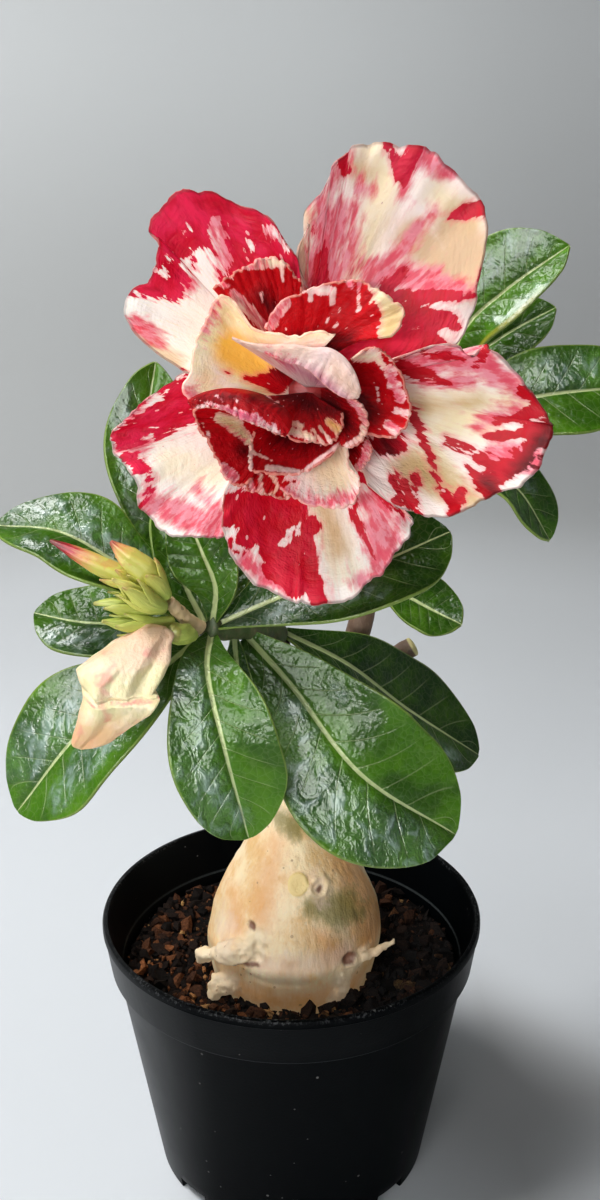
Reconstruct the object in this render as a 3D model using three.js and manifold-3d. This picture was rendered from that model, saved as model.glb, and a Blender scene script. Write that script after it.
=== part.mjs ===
// A potted desert rose: a round nursery pot with soil, a swollen caudex, grafted stems,
// glossy leaves, a cluster of buds and one many-petalled flower.
// Millimetres, +Z up. The origin is the middle of the pot's foot, and the flower faces -Y.
import * as THREE from 'three';
import { mergeVertices } from 'three/addons/utils/BufferGeometryUtils.js';
import Module from 'manifold-3d';

const wasm = await Module();
wasm.setup();

// ---- Driving dimensions -------------------------------------------------------------------

const POT_HEIGHT = 76;
const RIM_RADIUS = 52.5;
const COLLAR_HEIGHT = 13.8;
const COLLAR_FOOT_RADIUS = 50.6;
const COLLAR_STEP = 1.7;
const COLLAR_CHAMFER = 0.8;
const COLLAR_INSIDE_SLOPE = 3;
const FOOT_RADIUS = 38.4;
const WALL = 1.6;
const LIP = 0.8;
const FLOOR_HEIGHT = 4;
const FLOOR_THICKNESS = 2;
const FOOT_RING = 4;
const PAD_RADIUS = 9;
const PAD_SLOPE = 2;
const NOTCH_COUNT = 4;
const FIRST_NOTCH_DEGREES = 45;
const NOTCH_WIDTH = 9;
const NOTCH_HEIGHT = 2.4;
const DRAIN_RADIUS = 3.5;
const DRAIN_CIRCLE = 22;
const DRAIN_SIDES = 12;
const POT_SIDES = 40;

const SOIL_TOP = 57.5;
const SOIL_BANK = 2;
const SOIL_BANK_FOOT_RADIUS = 34.2;
const SOIL_GAP = 0.4;
const SOCKET_RADIUS = 24.5;
const SOCKET_FLOOR_RADIUS = 21.4;
const SOCKET_FLOOR = 45.5;

const CAUDEX_SIDES = 28;
const CAUDEX_LEAN = 0.9;
const CAUDEX_NECK_SHIFT = -1.2;
const CAUDEX_LOBES = 3;
const CAUDEX_LOBE_DEPTH = 0.025;
const STUB_STEPS = 4;
const STUB_SIDES = 8;

const LEAF_THICKNESS = 1.1;
const LEAF_COLUMNS = 6;
const LEAF_ROWS = 8;
const PETIOLE_SHARE = 0.11;
const PETAL_THICKNESS = 0.9;
const PETAL_COLUMNS = 10;
const PETAL_ROWS = 4;
const PETAL_WAVES = 3.5;
const STEM_STEPS = 10;
const STEM_SIDES = 10;
const BUD_STEPS = 7;
const BUD_SIDES = 8;
const END_ROUNDING = 0.3;
const THROAT_SIDES = 16;

// The flower's own frame: a to the right, b up and c out towards its face.
const FLOWER_CENTRE = new THREE.Vector3(3.5, -45, 222);
const FLOWER_FACING = new THREE.Vector3(0, -0.99, 0.143).normalize();

// ---- Finishes -----------------------------------------------------------------------------

function finish(color, roughness, metalness = 0) {
  return new THREE.MeshStandardMaterial({ color, roughness, metalness });
}

const finishes = {
  pot: finish(0x17181b, 0.5),
  soil: finish(0x35231a, 0.95),
  caudex: finish(0xd9b98c, 0.6),
  stem: finish(0x6b4a34, 0.7),
  greenStem: finish(0x4d5a2c, 0.6),
  leaf: finish(0x2c6127, 0.35),
  bud: finish(0xa9b35a, 0.5),
  wilted: finish(0xe9cfa6, 0.6),
  petal: finish(0xc21f38, 0.55),
  petalCream: finish(0xf2dcb2, 0.55),
  tube: finish(0xb7bf72, 0.55),
};

// ---- Shape helpers ------------------------------------------------------------------------

function vector([x, y, z]) {
  return new THREE.Vector3(x, y, z);
}

function curveThrough(points) {
  return new THREE.CatmullRomCurve3(points, false, 'centripetal');
}

function geometryFrom(vertices, triangles) {
  const geometry = new THREE.BufferGeometry();
  geometry.setAttribute('position', new THREE.Float32BufferAttribute(vertices, 3));
  geometry.setIndex(triangles);
  return geometry;
}

// A grid of points, row by row, becomes a sheet of even thickness with closed edges.
function closedSheet(grid, thickness) {
  const rows = grid.length;
  const columns = grid[0].length;
  const vertices = [];
  for (const side of [1, -1]) {
    for (let row = 0; row < rows; row += 1) {
      for (let column = 0; column < columns; column += 1) {
        const normal = sheetNormal(grid, row, column);
        const point = grid[row][column].clone().addScaledVector(normal, side * thickness / 2);
        vertices.push(point.x, point.y, point.z);
      }
    }
  }
  const triangles = [];
  const back = rows * columns;
  const index = (row, column) => row * columns + column;
  for (let row = 0; row < rows - 1; row += 1) {
    for (let column = 0; column < columns - 1; column += 1) {
      const [a, b] = [index(row, column), index(row, column + 1)];
      const [c, d] = [index(row + 1, column + 1), index(row + 1, column)];
      triangles.push(a, b, c, a, c, d);
      triangles.push(back + a, back + c, back + b, back + a, back + d, back + c);
    }
  }
  const edge = [];
  for (let column = 0; column < columns - 1; column += 1) edge.push(index(0, column));
  for (let row = 0; row < rows - 1; row += 1) edge.push(index(row, columns - 1));
  for (let column = columns - 1; column > 0; column -= 1) edge.push(index(rows - 1, column));
  for (let row = rows - 1; row > 0; row -= 1) edge.push(index(row, 0));
  edge.forEach((from, step) => {
    const to = edge[(step + 1) % edge.length];
    triangles.push(from, back + from, back + to, from, back + to, to);
  });
  return geometryFrom(vertices, triangles);
}

function sheetNormal(grid, row, column) {
  const lastRow = grid.length - 1;
  const lastColumn = grid[0].length - 1;
  const along = grid[Math.min(row + 1, lastRow)][column].clone();
  along.sub(grid[Math.max(row - 1, 0)][column]);
  const across = grid[row][Math.min(column + 1, lastColumn)].clone();
  across.sub(grid[row][Math.max(column - 1, 0)]);
  return across.cross(along).normalize();
}

// A round limb along a curve, with its radius given at even steps and rounded ends.
function limb(points, radii, steps, sides) {
  const curve = curveThrough(points.map(vector));
  const frames = curve.computeFrenetFrames(steps, false);
  const vertices = [];
  const triangles = [];
  for (let step = 0; step <= steps; step += 1) {
    const share = step / steps;
    const centre = curve.getPointAt(share);
    const radius = radiusAt(radii, share);
    for (let side = 0; side < sides; side += 1) {
      const turn = 2 * Math.PI * side / sides;
      const point = centre.clone();
      point.addScaledVector(frames.normals[step], radius * Math.cos(turn));
      point.addScaledVector(frames.binormals[step], radius * Math.sin(turn));
      vertices.push(point.x, point.y, point.z);
    }
  }
  for (let step = 0; step < steps; step += 1) {
    for (let side = 0; side < sides; side += 1) {
      const next = (side + 1) % sides;
      const [a, b] = [step * sides + side, step * sides + next];
      const [c, d] = [a + sides, b + sides];
      triangles.push(a, b, d, a, d, c);
    }
  }
  const heel = curve.getPointAt(0);
  heel.addScaledVector(frames.tangents[0], -END_ROUNDING * radiusAt(radii, 0));
  const crown = curve.getPointAt(1);
  crown.addScaledVector(frames.tangents[steps], END_ROUNDING * radiusAt(radii, 1));
  vertices.push(heel.x, heel.y, heel.z, crown.x, crown.y, crown.z);
  const heelIndex = (steps + 1) * sides;
  for (let side = 0; side < sides; side += 1) {
    const next = (side + 1) % sides;
    triangles.push(heelIndex, next, side);
    triangles.push(heelIndex + 1, steps * sides + side, steps * sides + next);
  }
  return geometryFrom(vertices, triangles);
}

function radiusAt(radii, share) {
  const place = share * (radii.length - 1);
  const index = Math.min(Math.floor(place), radii.length - 2);
  return THREE.MathUtils.lerp(radii[index], radii[index + 1], place - index);
}

function solidOf(geometry) {
  const bare = geometry.clone();
  bare.deleteAttribute('normal');
  bare.deleteAttribute('uv');
  const merged = mergeVertices(bare, 1e-4);
  return new wasm.Manifold(new wasm.Mesh({
    numProp: 3,
    vertProperties: new Float32Array(merged.attributes.position.array),
    triVerts: new Uint32Array(merged.index.array),
  }));
}

function geometryOf(solid) {
  const mesh = solid.getMesh();
  return geometryFrom(mesh.vertProperties, Array.from(mesh.triVerts));
}

// A body turned about the upright axis, from a profile of [radius, height] pairs.
function turned(profile, sides) {
  const points = profile.map(([radius, height]) => new THREE.Vector2(radius, height));
  return new THREE.LatheGeometry(points, sides).rotateX(Math.PI / 2);
}

// ---- Pot and soil -------------------------------------------------------------------------

function wallRadius(height) {
  const wallTop = COLLAR_FOOT_RADIUS - COLLAR_STEP;
  const share = height / (POT_HEIGHT - COLLAR_HEIGHT);
  return THREE.MathUtils.lerp(FOOT_RADIUS, wallTop, share);
}

function potGeometry() {
  const collarFoot = POT_HEIGHT - COLLAR_HEIGHT;
  const collarInside = COLLAR_FOOT_RADIUS - WALL;
  const floorTop = FLOOR_HEIGHT + FLOOR_THICKNESS;
  const profile = [
    [0, 0],
    [PAD_RADIUS, 0],
    [PAD_RADIUS + PAD_SLOPE, FLOOR_HEIGHT],
    [FOOT_RADIUS - FOOT_RING, FLOOR_HEIGHT],
    [FOOT_RADIUS - FOOT_RING, 0],
    [FOOT_RADIUS, 0],
    [wallRadius(collarFoot), collarFoot],
    [COLLAR_FOOT_RADIUS, collarFoot + COLLAR_CHAMFER],
    [RIM_RADIUS, POT_HEIGHT - LIP],
    [RIM_RADIUS - LIP / 2, POT_HEIGHT],
    [RIM_RADIUS - WALL, POT_HEIGHT],
    [collarInside, collarFoot + COLLAR_INSIDE_SLOPE],
    [wallRadius(collarFoot) - WALL, collarFoot],
    [wallRadius(floorTop) - WALL, floorTop],
    [0, floorTop],
  ];
  let pot = solidOf(turned(profile, POT_SIDES));
  for (let index = 0; index < NOTCH_COUNT; index += 1) {
    const turn = THREE.MathUtils.degToRad(FIRST_NOTCH_DEGREES + 360 * index / NOTCH_COUNT);
    const notch = new THREE.BoxGeometry(FOOT_RING * 3, NOTCH_WIDTH, 2 * NOTCH_HEIGHT);
    notch.translate(FOOT_RADIUS, 0, 0).rotateZ(turn);
    pot = pot.subtract(solidOf(notch));
    const depth = 4 * FLOOR_HEIGHT;
    const drain = new THREE.CylinderGeometry(DRAIN_RADIUS, DRAIN_RADIUS, depth, DRAIN_SIDES);
    drain.rotateX(Math.PI / 2).translate(DRAIN_CIRCLE, 0, FLOOR_HEIGHT).rotateZ(turn);
    pot = pot.subtract(solidOf(drain));
  }
  return geometryOf(pot);
}

// The soil fills the pot, with a round socket in its top that holds the caudex's foot.
function soilGeometry() {
  const bottom = FLOOR_HEIGHT + FLOOR_THICKNESS + SOIL_GAP;
  const profile = [
    [0, bottom],
    [wallRadius(bottom) - WALL - SOIL_GAP, bottom],
    [wallRadius(SOIL_TOP) - WALL - SOIL_GAP, SOIL_TOP + SOIL_BANK],
    [SOIL_BANK_FOOT_RADIUS, SOIL_TOP + SOIL_BANK / 2],
    [SOCKET_RADIUS, SOIL_TOP],
    [SOCKET_FLOOR_RADIUS, SOCKET_FLOOR],
    [0, SOCKET_FLOOR],
  ];
  return turned(profile, POT_SIDES);
}

// ---- Caudex and stems ---------------------------------------------------------------------

const CAUDEX_PROFILE = [
  [0, 46], [15, 46], [21.5, 53], [22.8, 58], [23.8, 62], [24.2, 68], [23.2, 75], [20.4, 83],
  [16.8, 90], [13.2, 96], [9.4, 102], [6.6, 108], [5.4, 114], [5, 119], [0, 120.5],
];

const ROOT_STUBS = [
  { points: [[-8, -20, 70.5], [-16, -17.5, 70], [-24.5, -12, 67.5]], radii: [2.2, 3.4, 2.6] },
  { points: [[-15, -17, 63], [-19.5, -17, 61.5], [-21, -18, 59.3]], radii: [3.4, 3.2, 2.2] },
  { points: [[13, -18, 68], [21.5, -14, 68.5], [28.5, -10.5, 71]], radii: [2.6, 2, 1] },
  { points: [[13, -18, 67], [14.5, -19, 63], [13.5, -20.5, 59.5]], radii: [2.4, 2, 1.2] },
];

// The bottle shape leans a little to the right, swells in three faint lobes and carries its
// neck a little to the left.
function caudexGeometry() {
  const body = turned(CAUDEX_PROFILE, CAUDEX_SIDES);
  const position = body.attributes.position;
  for (let index = 0; index < position.count; index += 1) {
    const [x, y, z] = [position.getX(index), position.getY(index), position.getZ(index)];
    const neck = THREE.MathUtils.smoothstep(z, 90, 112);
    const lean = CAUDEX_LEAN * THREE.MathUtils.smoothstep(z, 58, 80);
    const shift = THREE.MathUtils.lerp(lean, CAUDEX_NECK_SHIFT, neck);
    const swell = Math.sin(CAUDEX_LOBES * Math.atan2(y, x) + 0.6);
    const lobes = 1 + CAUDEX_LOBE_DEPTH * swell * (1 - neck);
    position.setXYZ(index, x * lobes + shift, y * lobes, z);
  }
  let caudex = solidOf(body);
  for (const stub of ROOT_STUBS) {
    caudex = caudex.add(solidOf(limb(stub.points, stub.radii, STUB_STEPS, STUB_SIDES)));
  }
  return geometryOf(caudex);
}

const STEMS = [
  { name: 'stem_main', finish: 'stem', radii: [4.2, 3.6, 3.4, 3.6, 3.4],
    points: [[-1.2, 0, 122.3], [-1.5, -3, 131], [-3, -10, 146], [-3.5, -17.6, 160]] },
  { name: 'branch_left', finish: 'greenStem', radii: [3.3, 3.2, 2.8, 2.9, 3.2],
    points: [[-3.6, -18.7, 162.1], [-5, -20.6, 164.3], [-10, -26, 166.7], [-15, -31, 168.5],
      [-19, -35, 170]] },
  { name: 'branch_right', finish: 'stem', radii: [3, 3.3, 3.2, 3.2, 3],
    points: [[5.5, 1, 126], [12, 2, 140], [18, 2, 158], [20, 3, 175], [28, 4, 196],
      [33, 5, 211]] },
  { name: 'branch_stub', finish: 'stem', radii: [2.4, 2.7, 2.7],
    points: [[14.8, 5.9, 138.4], [22, 11, 142], [33, 12, 148.5]] },
];

// ---- Leaves -------------------------------------------------------------------------------
// Each leaf runs from its petiole through two bends to its tip; faces is the way its upper
// side looks, fold is how far its margins rise and wave is the height of their ripple.

const LEAVES = [
  { name: 'leaf_01', width: 37, fold: 3, wave: 0.8, faces: [-0.2, -0.75, 0.6],
    path: [[-9, -28.5, 164.1], [0, -35, 156], [16, -45, 138], [39.5, -40, 119.5]] },
  { name: 'leaf_02', width: 25, fold: 2.5, wave: 0.7, faces: [0.1, -0.85, 0.5],
    path: [[-18, -38, 168.2], [-18, -49, 164.5], [-14, -59, 151], [-9, -56, 127]] },
  { name: 'leaf_03', width: 30, fold: 2, wave: 0.7, faces: [-0.3, -0.5, 0.8],
    path: [[0.5, -17, 161.5], [14, -13, 153], [31, -5, 137], [51, 2, 121]] },
  { name: 'leaf_04', width: 28, fold: 2.5, wave: 1, faces: [0.1, -0.6, 0.8],
    path: [[-15, -35.4, 171.4], [-1, -36, 178], [17, -35, 184], [37, -28, 191]] },
  { name: 'leaf_05', width: 17, fold: 1.5, wave: 0.4, faces: [0, -0.7, 0.7],
    path: [[23.8, 2, 170.5], [29.5, 0, 167], [36, -1, 163.5], [44, -3, 160]] },
  { name: 'leaf_06', width: 21, fold: 2, wave: 0.5, faces: [0.4, -0.5, 0.7],
    path: [[34.8, 3.7, 206], [44, 0, 202], [56, -4, 196], [65, -6, 183]] },
  { name: 'leaf_07', width: 24, fold: 2.5, wave: 0.6, faces: [0, -0.85, 0.5],
    path: [[36.4, 3, 209.6], [47, -2, 215], [61, -6, 219], [88, -2, 221]] },
  { name: 'leaf_08', width: 28, fold: 3, wave: 1, faces: [-0.3, -0.8, 0.3],
    path: [[36.6, 4.8, 213], [42.5, 4, 233.5], [52, 3, 243], [66, 0, 253.5]] },
  { name: 'leaf_09', width: 17, fold: 2, wave: 0.6, faces: [-0.3, -0.85, 0.4],
    path: [[34.1, 8, 211.3], [44, 13, 224], [54.5, 12, 232], [66, 11, 238.5]] },
  { name: 'leaf_10', width: 21, fold: 2, wave: 0.7, faces: [0.2, -0.8, 0.5],
    path: [[-19, -32.2, 172.9], [-28.5, -21, 189], [-33.5, -16, 210], [-31.5, -11, 227.5]] },
  { name: 'leaf_11', width: 16, fold: 1.5, wave: 0.4, faces: [0.2, -0.85, 0.4],
    path: [[-20.3, -36.3, 173.2], [-24.6, -32.6, 182], [-24.2, -27.6, 192], [-21.5, -24, 205]] },
  { name: 'leaf_12', width: 16, fold: 1.5, wave: 0.4, faces: [-0.2, -0.85, 0.4],
    path: [[-17.4, -36.3, 173.1], [-16.8, -36.6, 180], [-19.7, -35.8, 188], [-24, -33.4, 198]] },
  { name: 'leaf_13', width: 24, fold: 2, wave: 0.8, faces: [0, -0.45, 0.9],
    path: [[-22.1, -34.7, 172], [-38.5, -37.5, 186], [-51.5, -36, 193], [-66, -34, 194]] },
  { name: 'leaf_14', width: 24, fold: 1.5, wave: 0.5, faces: [0, -0.5, 0.87],
    path: [[-21.4, -31.8, 169.2], [-42.5, -28, 168.5], [-51, -26, 168.5], [-61, -24, 170]] },
  { name: 'leaf_15', width: 29, fold: 2.5, wave: 1, faces: [-0.2, -0.75, 0.6],
    path: [[-21.6, -37.3, 167.2], [-32, -43, 160], [-46.5, -48, 150], [-63, -46.5, 129]] },
  { name: 'leaf_16', width: 13, fold: 1, wave: 0.3, faces: [0, -0.8, 0.5],
    path: [[-15, -30.4, 172.2], [-14, -24, 178], [-14, -18, 186], [-13, -13, 196]] },
  { name: 'leaf_17', width: 9, fold: 1, wave: 0.3, faces: [0, -0.8, 0.5],
    path: [[-13, -29.6, 164.4], [-12.5, -30, 159], [-11.5, -30, 153], [-10.5, -29, 145]] },
];

// Half the leaf's width as a share of its widest: a narrow wedge, then a rounded end.
function leafSpread(share) {
  const wedge = Math.max(Math.sin(Math.PI * share ** 1.5), 0);
  return PETIOLE_SHARE + (1 - PETIOLE_SHARE) * wedge ** 0.7;
}

// The rows of a leaf lie closer together towards its rounded tip.
function leafShare(row) {
  return Math.min(THREE.MathUtils.lerp(row, Math.sin(0.5 * Math.PI * row), 0.35), 1);
}

function leafGeometry(leaf) {
  const midrib = curveThrough(leaf.path.map(vector));
  const facing = vector(leaf.faces);
  const grid = [];
  for (let row = 0; row <= LEAF_ROWS; row += 1) {
    const share = leafShare(row / LEAF_ROWS);
    const centre = midrib.getPointAt(share);
    const along = midrib.getTangentAt(share);
    const across = along.clone().cross(facing).normalize();
    const up = across.clone().cross(along).normalize();
    const spread = leafSpread(share);
    const line = [];
    for (let column = 0; column <= LEAF_COLUMNS; column += 1) {
      const side = 2 * column / LEAF_COLUMNS - 1;
      const ripple = leaf.wave * side * side * Math.sin(3 * Math.PI * share + 2 * side);
      const lift = leaf.fold * side * side * spread + ripple * spread;
      const point = centre.clone().addScaledVector(across, side * spread * leaf.width / 2);
      line.push(point.addScaledVector(up, lift));
    }
    grid.push(line);
  }
  return closedSheet(grid, LEAF_THICKNESS);
}

// ---- Flower -------------------------------------------------------------------------------
// A petal is stretched between lines in the flower's own frame, from its root to its rim;
// dish sinks its middle and ruffle is the height of the waves along its rim.

const PETALS = [
  { name: 'outer_petal_1', finish: 'petal', dish: 1.5, ruffle: 0.7, lines: [
    [[-5, 5.8, -9], [-3, 8.4, -9]],
    [[-26.5, 8, 1], [-34.5, 15, 1], [-37, 20, 1], [-34, 25, 1], [-29.5, 31.5, 0], [-32, 36, 1],
      [-24.5, 42.5, 2], [-16, 41.5, 1], [-8, 38, 0], [-3, 31, -1], [-1, 25, -2]]] },
  { name: 'outer_petal_2', finish: 'petalCream', dish: 1.5, ruffle: 0.7, lines: [
    [[-1, 9.4, -9], [3, 9, -9]],
    [[-1, 27, -4], [-1.5, 33, -4], [0.5, 39.5, -3], [5.5, 49, -2], [13.5, 53.8, -2],
      [21.5, 52.8, -2], [30, 47.5, -2], [36, 40, -2], [36.5, 29.5, -2], [33, 19.5, -3],
      [27, 12.5, -4]]] },
  { name: 'outer_petal_3', finish: 'petalCream', dish: 1.5, ruffle: 0.7, lines: [
    [[6.4, 5.8, -9], [6.6, 1.6, -9]],
    [[24.5, 11.5, 2], [30.5, 13, 3], [37, 13, 4], [43, 8.5, 4], [50.5, -1, 4], [51, -7, 4],
      [47.5, -12.5, 4], [39, -18, 4], [28, -22, 4], [21, -20.5, 3], [14.5, -15.5, 2]]] },
  { name: 'outer_petal_4', finish: 'petalCream', dish: 1.5, ruffle: 0.7, lines: [
    [[3.6, -2.6, -9], [-1.2, -3.2, -9]],
    [[17.5, -16, -3], [22.5, -22.5, -2], [22, -28.5, 0], [14, -36, 1], [6.5, -40, 2],
      [0, -41, 3], [-9.5, -37.5, 3], [-16.5, -30, 3], [-18, -22.5, 3], [-17, -15.5, 2]]] },
  { name: 'outer_petal_5', finish: 'petalCream', dish: 1.5, ruffle: 0.7, lines: [
    [[-4, -1.6, -9], [-5.6, 2.6, -9]],
    [[-15, -21, -4], [-18.5, -27, -3], [-26, -27, -2], [-32, -25, -2], [-36.5, -18.5, -2],
      [-39.5, -11, -2], [-41.5, -5, -2], [-34.5, 2.5, -2], [-26, 7.5, -3]]] },
  { name: 'inner_petal_top', finish: 'petal', dish: 0, ruffle: 0.4, lines: [
    [[-1.3, 7, -6.6], [1.9, 7.2, -6.6]],
    [[-5, 11.5, 0], [2.5, 14, -1], [9, 12.5, 2]],
    [[-8.5, 17, 4], [-3, 22.5, 5], [4.5, 25, 5], [13.5, 24.5, 6], [19, 19, 9], [17, 14, 11]]] },
  { name: 'inner_petal_back', finish: 'petal', dish: 1, ruffle: 0.4, lines: [
    [[-4, 5.6, -7.4], [-2.8, 7.1, -7.4]],
    [[-19, 24, 3], [-15, 28, 3], [-9, 30, 2], [-4.5, 29.5, 2], [-1, 25.5, 1], [-1.5, 20.5, -1]]] },
  { name: 'inner_petal_left', finish: 'petalCream', dish: 2, ruffle: 0.3, lines: [
    [[-3.6, 2, -6.6], [-3.7, 4.2, -6.6]],
    [[-20.5, 2, 4], [-24.5, 4, 8], [-22.5, 11, 9], [-19.5, 16.5, 8], [-17.5, 22.5, 8],
      [-13, 21.5, 7], [-8.5, 16, 7], [-2, 14.5, 8], [2.5, 15, 8]]] },
  { name: 'inner_petal_folded', finish: 'petalCream', dish: 0, ruffle: 0.3, lines: [
    [[0, 4.1, -4.8], [2.6, 4.1, -4.8]],
    [[-13.5, 14, 9], [-8, 13.5, 11], [-1, 12.5, 13], [5, 11, 13], [9, 7.5, 13], [10.5, 3.5, 12]],
    [[-10.5, 11, 10], [-6, 9, 11], [-1, 6, 12], [4, 2.5, 12], [7.5, 2.5, 12]]] },
  { name: 'inner_petal_curled', finish: 'petal', dish: 1, ruffle: 0.2, lines: [
    [[3.4, 3.6, -5.4], [3.4, 1.4, -5.4]],
    [[10.5, 1.2, 9.5], [12.6, -1.2, 10], [12.5, -4.5, 10], [10.5, -7, 9], [8.6, -7.6, 8]]] },
  { name: 'inner_petal_bowl', finish: 'petal', dish: 2, ruffle: 0.2, lines: [
    [[2.2, -0.4, -6], [-0.8, -0.5, -6]],
    [[6.2, -6.3, 8], [3.5, -9.5, 9], [-1, -12, 9], [-7.5, -13.5, 8], [-11, -12, 8],
      [-11.5, -7, 7]]] },
  { name: 'inner_petal_right', finish: 'petal', dish: 1.5, ruffle: 0.3, lines: [
    [[4.9, 4.4, -6.6], [4.9, 1.6, -6.6]],
    [[9.5, 9.5, 7], [13.5, 12, 7], [17, 10.5, 7], [20, 6.5, 6], [22, 0.5, 5],
      [21.5, -3.5, 5], [19, -6.5, 6], [13, -6, 6]]] },
  { name: 'inner_petal_bottom', finish: 'petalCream', dish: 0, ruffle: 0.3, lines: [
    [[3.6, -1.1, -7.2], [0.8, -2, -7.2]],
    [[8.5, -8, 5], [10.5, -12.5, 6], [11, -16.5, 6], [8.5, -19.5, 7], [4, -20, 7],
      [0.5, -19, 6], [-5, -15.5, 5]]] },
  { name: 'inner_petal_rolled', finish: 'petal', dish: 0, ruffle: 0.2, lines: [
    [[-3.5, 0.9, -6.6], [-2.8, -0.3, -6.6]],
    [[-23.5, 3, 11], [-16.5, 4, 13], [-11, 1.5, 13], [-6.5, -1, 12], [-3, -3.5, 10]],
    [[-23, 1, 11], [-17, 1, 13], [-12, -1.5, 13], [-8.5, -3.5, 12], [-4.5, -6, 10]]] },
  { name: 'inner_petal_lower_left', finish: 'petal', dish: 1, ruffle: 0.3, lines: [
    [[-2.6, -1.8, -7.6], [-3.8, -0.4, -7.6]],
    [[-11.5, -15, 4], [-16.5, -14.5, 4], [-19, -9.5, 5], [-21, -5.5, 5], [-23, -1, 6],
      [-23, 1, 6]]] },
  { name: 'inner_petal_ruffle', finish: 'petal', dish: 0, ruffle: 0.5, lines: [
    [[0, -2.1, -7.6], [-1.4, -1.9, -7.6]],
    [[-3, -19, 2], [-7, -18, 2], [-11, -17.5, 2], [-13, -16, 1]]] },
  { name: 'inner_petal_small', finish: 'petal', dish: 0, ruffle: 0.2, lines: [
    [[5.6, 0.4, -8], [4.8, -1, -8]],
    [[13, -7, 2.5], [14, -9.5, 2.5], [12, -12.5, 2], [9.5, -14, 1.5]]] },
  { name: 'inner_petal_heart', finish: 'petal', dish: 0, ruffle: 0.5, lines: [
    [[0, 2.6, -4.8], [1.6, 2.4, -4.8]],
    [[-9.5, 6, 3], [-8, 3.5, 4.5], [-4.5, 1, 5.5], [-1, -2, 6], [3, -4, 6], [6, -2, 5.5]]] },
];

const flowerRight = new THREE.Vector3(1, 0, 0);
const flowerUp = FLOWER_FACING.clone().cross(flowerRight).normalize();

function inFlower([a, b, c]) {
  const point = FLOWER_CENTRE.clone();
  point.addScaledVector(flowerRight, a);
  point.addScaledVector(flowerUp, b);
  return point.addScaledVector(FLOWER_FACING, c);
}

// Points on a smooth line at even shares of its listed points.
function alongLine(line, share) {
  const points = line.map(inFlower);
  if (points.length === 2) return points[0].lerp(points[1], share);
  return curveThrough(points).getPoint(share);
}

function petalGeometry(petal) {
  const grid = [];
  for (let row = 0; row <= PETAL_ROWS; row += 1) {
    const rise = row / PETAL_ROWS;
    const line = [];
    for (let column = 0; column <= PETAL_COLUMNS; column += 1) {
      const share = column / PETAL_COLUMNS;
      const stops = petal.lines.map((stop) => alongLine(stop, share));
      const point = stops.length === 2
        ? stops[0].clone().lerp(stops[1], rise)
        : curveThrough(stops).getPoint(rise);
      const wave = petal.ruffle * rise * rise * Math.sin(2 * Math.PI * PETAL_WAVES * share);
      const sink = petal.dish * Math.sin(Math.PI * rise) * Math.sin(Math.PI * share);
      line.push(point.addScaledVector(FLOWER_FACING, wave - sink));
    }
    grid.push(line);
  }
  return closedSheet(grid, PETAL_THICKNESS);
}

// The tube rises from the calyx, bends forward and widens to a domed throat.
const THROAT_CENTRE = [0.5, 3];
const TUBE_RADII = [1.8, 2.3, 3, 4, 6];
const TUBE_STEPS = 8;
const THROAT_PROFILE = [
  [0, -13], [5.4, -12], [7, -10.4], [6.8, -9.9], [4.8, -9.7], [4.1, -7.6], [2.7, -6], [0, -5.6],
];

function flowerTubeGeometry() {
  const [a, b] = THROAT_CENTRE;
  const path = [[31.6, 1, 216.4], [24, -12, 218], [14, -24, 220], inFlower([a, b, -16]).toArray(),
    inFlower([a, b, -11.5]).toArray()];
  const tube = limb(path, TUBE_RADII, TUBE_STEPS, STEM_SIDES);
  const upright = new THREE.Vector3(0, 0, 1);
  const tilt = new THREE.Quaternion().setFromUnitVectors(upright, FLOWER_FACING);
  const throat = turned(THROAT_PROFILE, THROAT_SIDES).applyQuaternion(tilt);
  const centre = inFlower([a, b, 0]);
  throat.translate(centre.x, centre.y, centre.z);
  return geometryOf(solidOf(tube).add(solidOf(throat)));
}

const BUDS = [
  { name: 'flower_calyx', finish: 'bud', radii: [1.4, 2.4, 2.2, 1.2],
    points: [[33.1, 4.3, 213], [32.7, 3.4, 214.1], [32.1, 2, 215.4]] },
  { name: 'bud_1', finish: 'bud', radii: [0.9, 1.6, 2.7, 2.7, 1.8, 0.5],
    points: [[-28.4, -43, 181], [-35, -45.5, 184.6], [-42, -46.5, 188.6], [-51, -47, 193.5]] },
  { name: 'bud_2', finish: 'bud', radii: [1.2, 2.4, 3.2, 2.6, 0.5],
    points: [[-27, -45.6, 180.6], [-30.3, -48.5, 186.5], [-34, -49.5, 190.3], [-37.5, -50, 194]] },
  { name: 'bud_3', finish: 'bud', radii: [1.2, 2, 2.2, 1.6, 0.5],
    points: [[-27.6, -46.8, 178.4], [-31, -51, 181.5], [-34, -53, 185], [-37, -54, 187]] },
  { name: 'bud_4', finish: 'bud', radii: [1, 1.6, 1.7, 0.5],
    points: [[-28, -43.9, 177.4], [-34.5, -47, 178.6], [-38.5, -48.5, 180], [-42, -49, 180]] },
  { name: 'bud_5', finish: 'bud', radii: [0.9, 1.2, 1.8, 1.6, 0.5],
    points: [[-25.9, -43.7, 174.2], [-30, -46.5, 174.4], [-36, -49.5, 175.6], [-40, -51.5, 176.8]] },
  { name: 'bud_stalk', finish: 'greenStem', radii: [1.8, 1.6, 1.6, 1.4],
    points: [[-20.4, -38.5, 170.9], [-23, -41.2, 174], [-26.4, -44.6, 179]] },
  { name: 'wilted_calyx', finish: 'bud', radii: [1.4, 2.2, 2.4, 2],
    points: [[-21.5, -42.8, 170.6], [-23.4, -45.6, 172], [-25.4, -49, 173.2]] },
  { name: 'wilted_flower', finish: 'wilted', radii: [2.2, 4.4, 7, 7.4, 5.6, 3],
    points: [[-26, -50.8, 173.6], [-31, -56, 171.5], [-36, -60, 165.5], [-41, -61, 158.5],
      [-45, -60, 152.5]] },
];

// ---- Assembly -----------------------------------------------------------------------------

const group = new THREE.Group();

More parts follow.
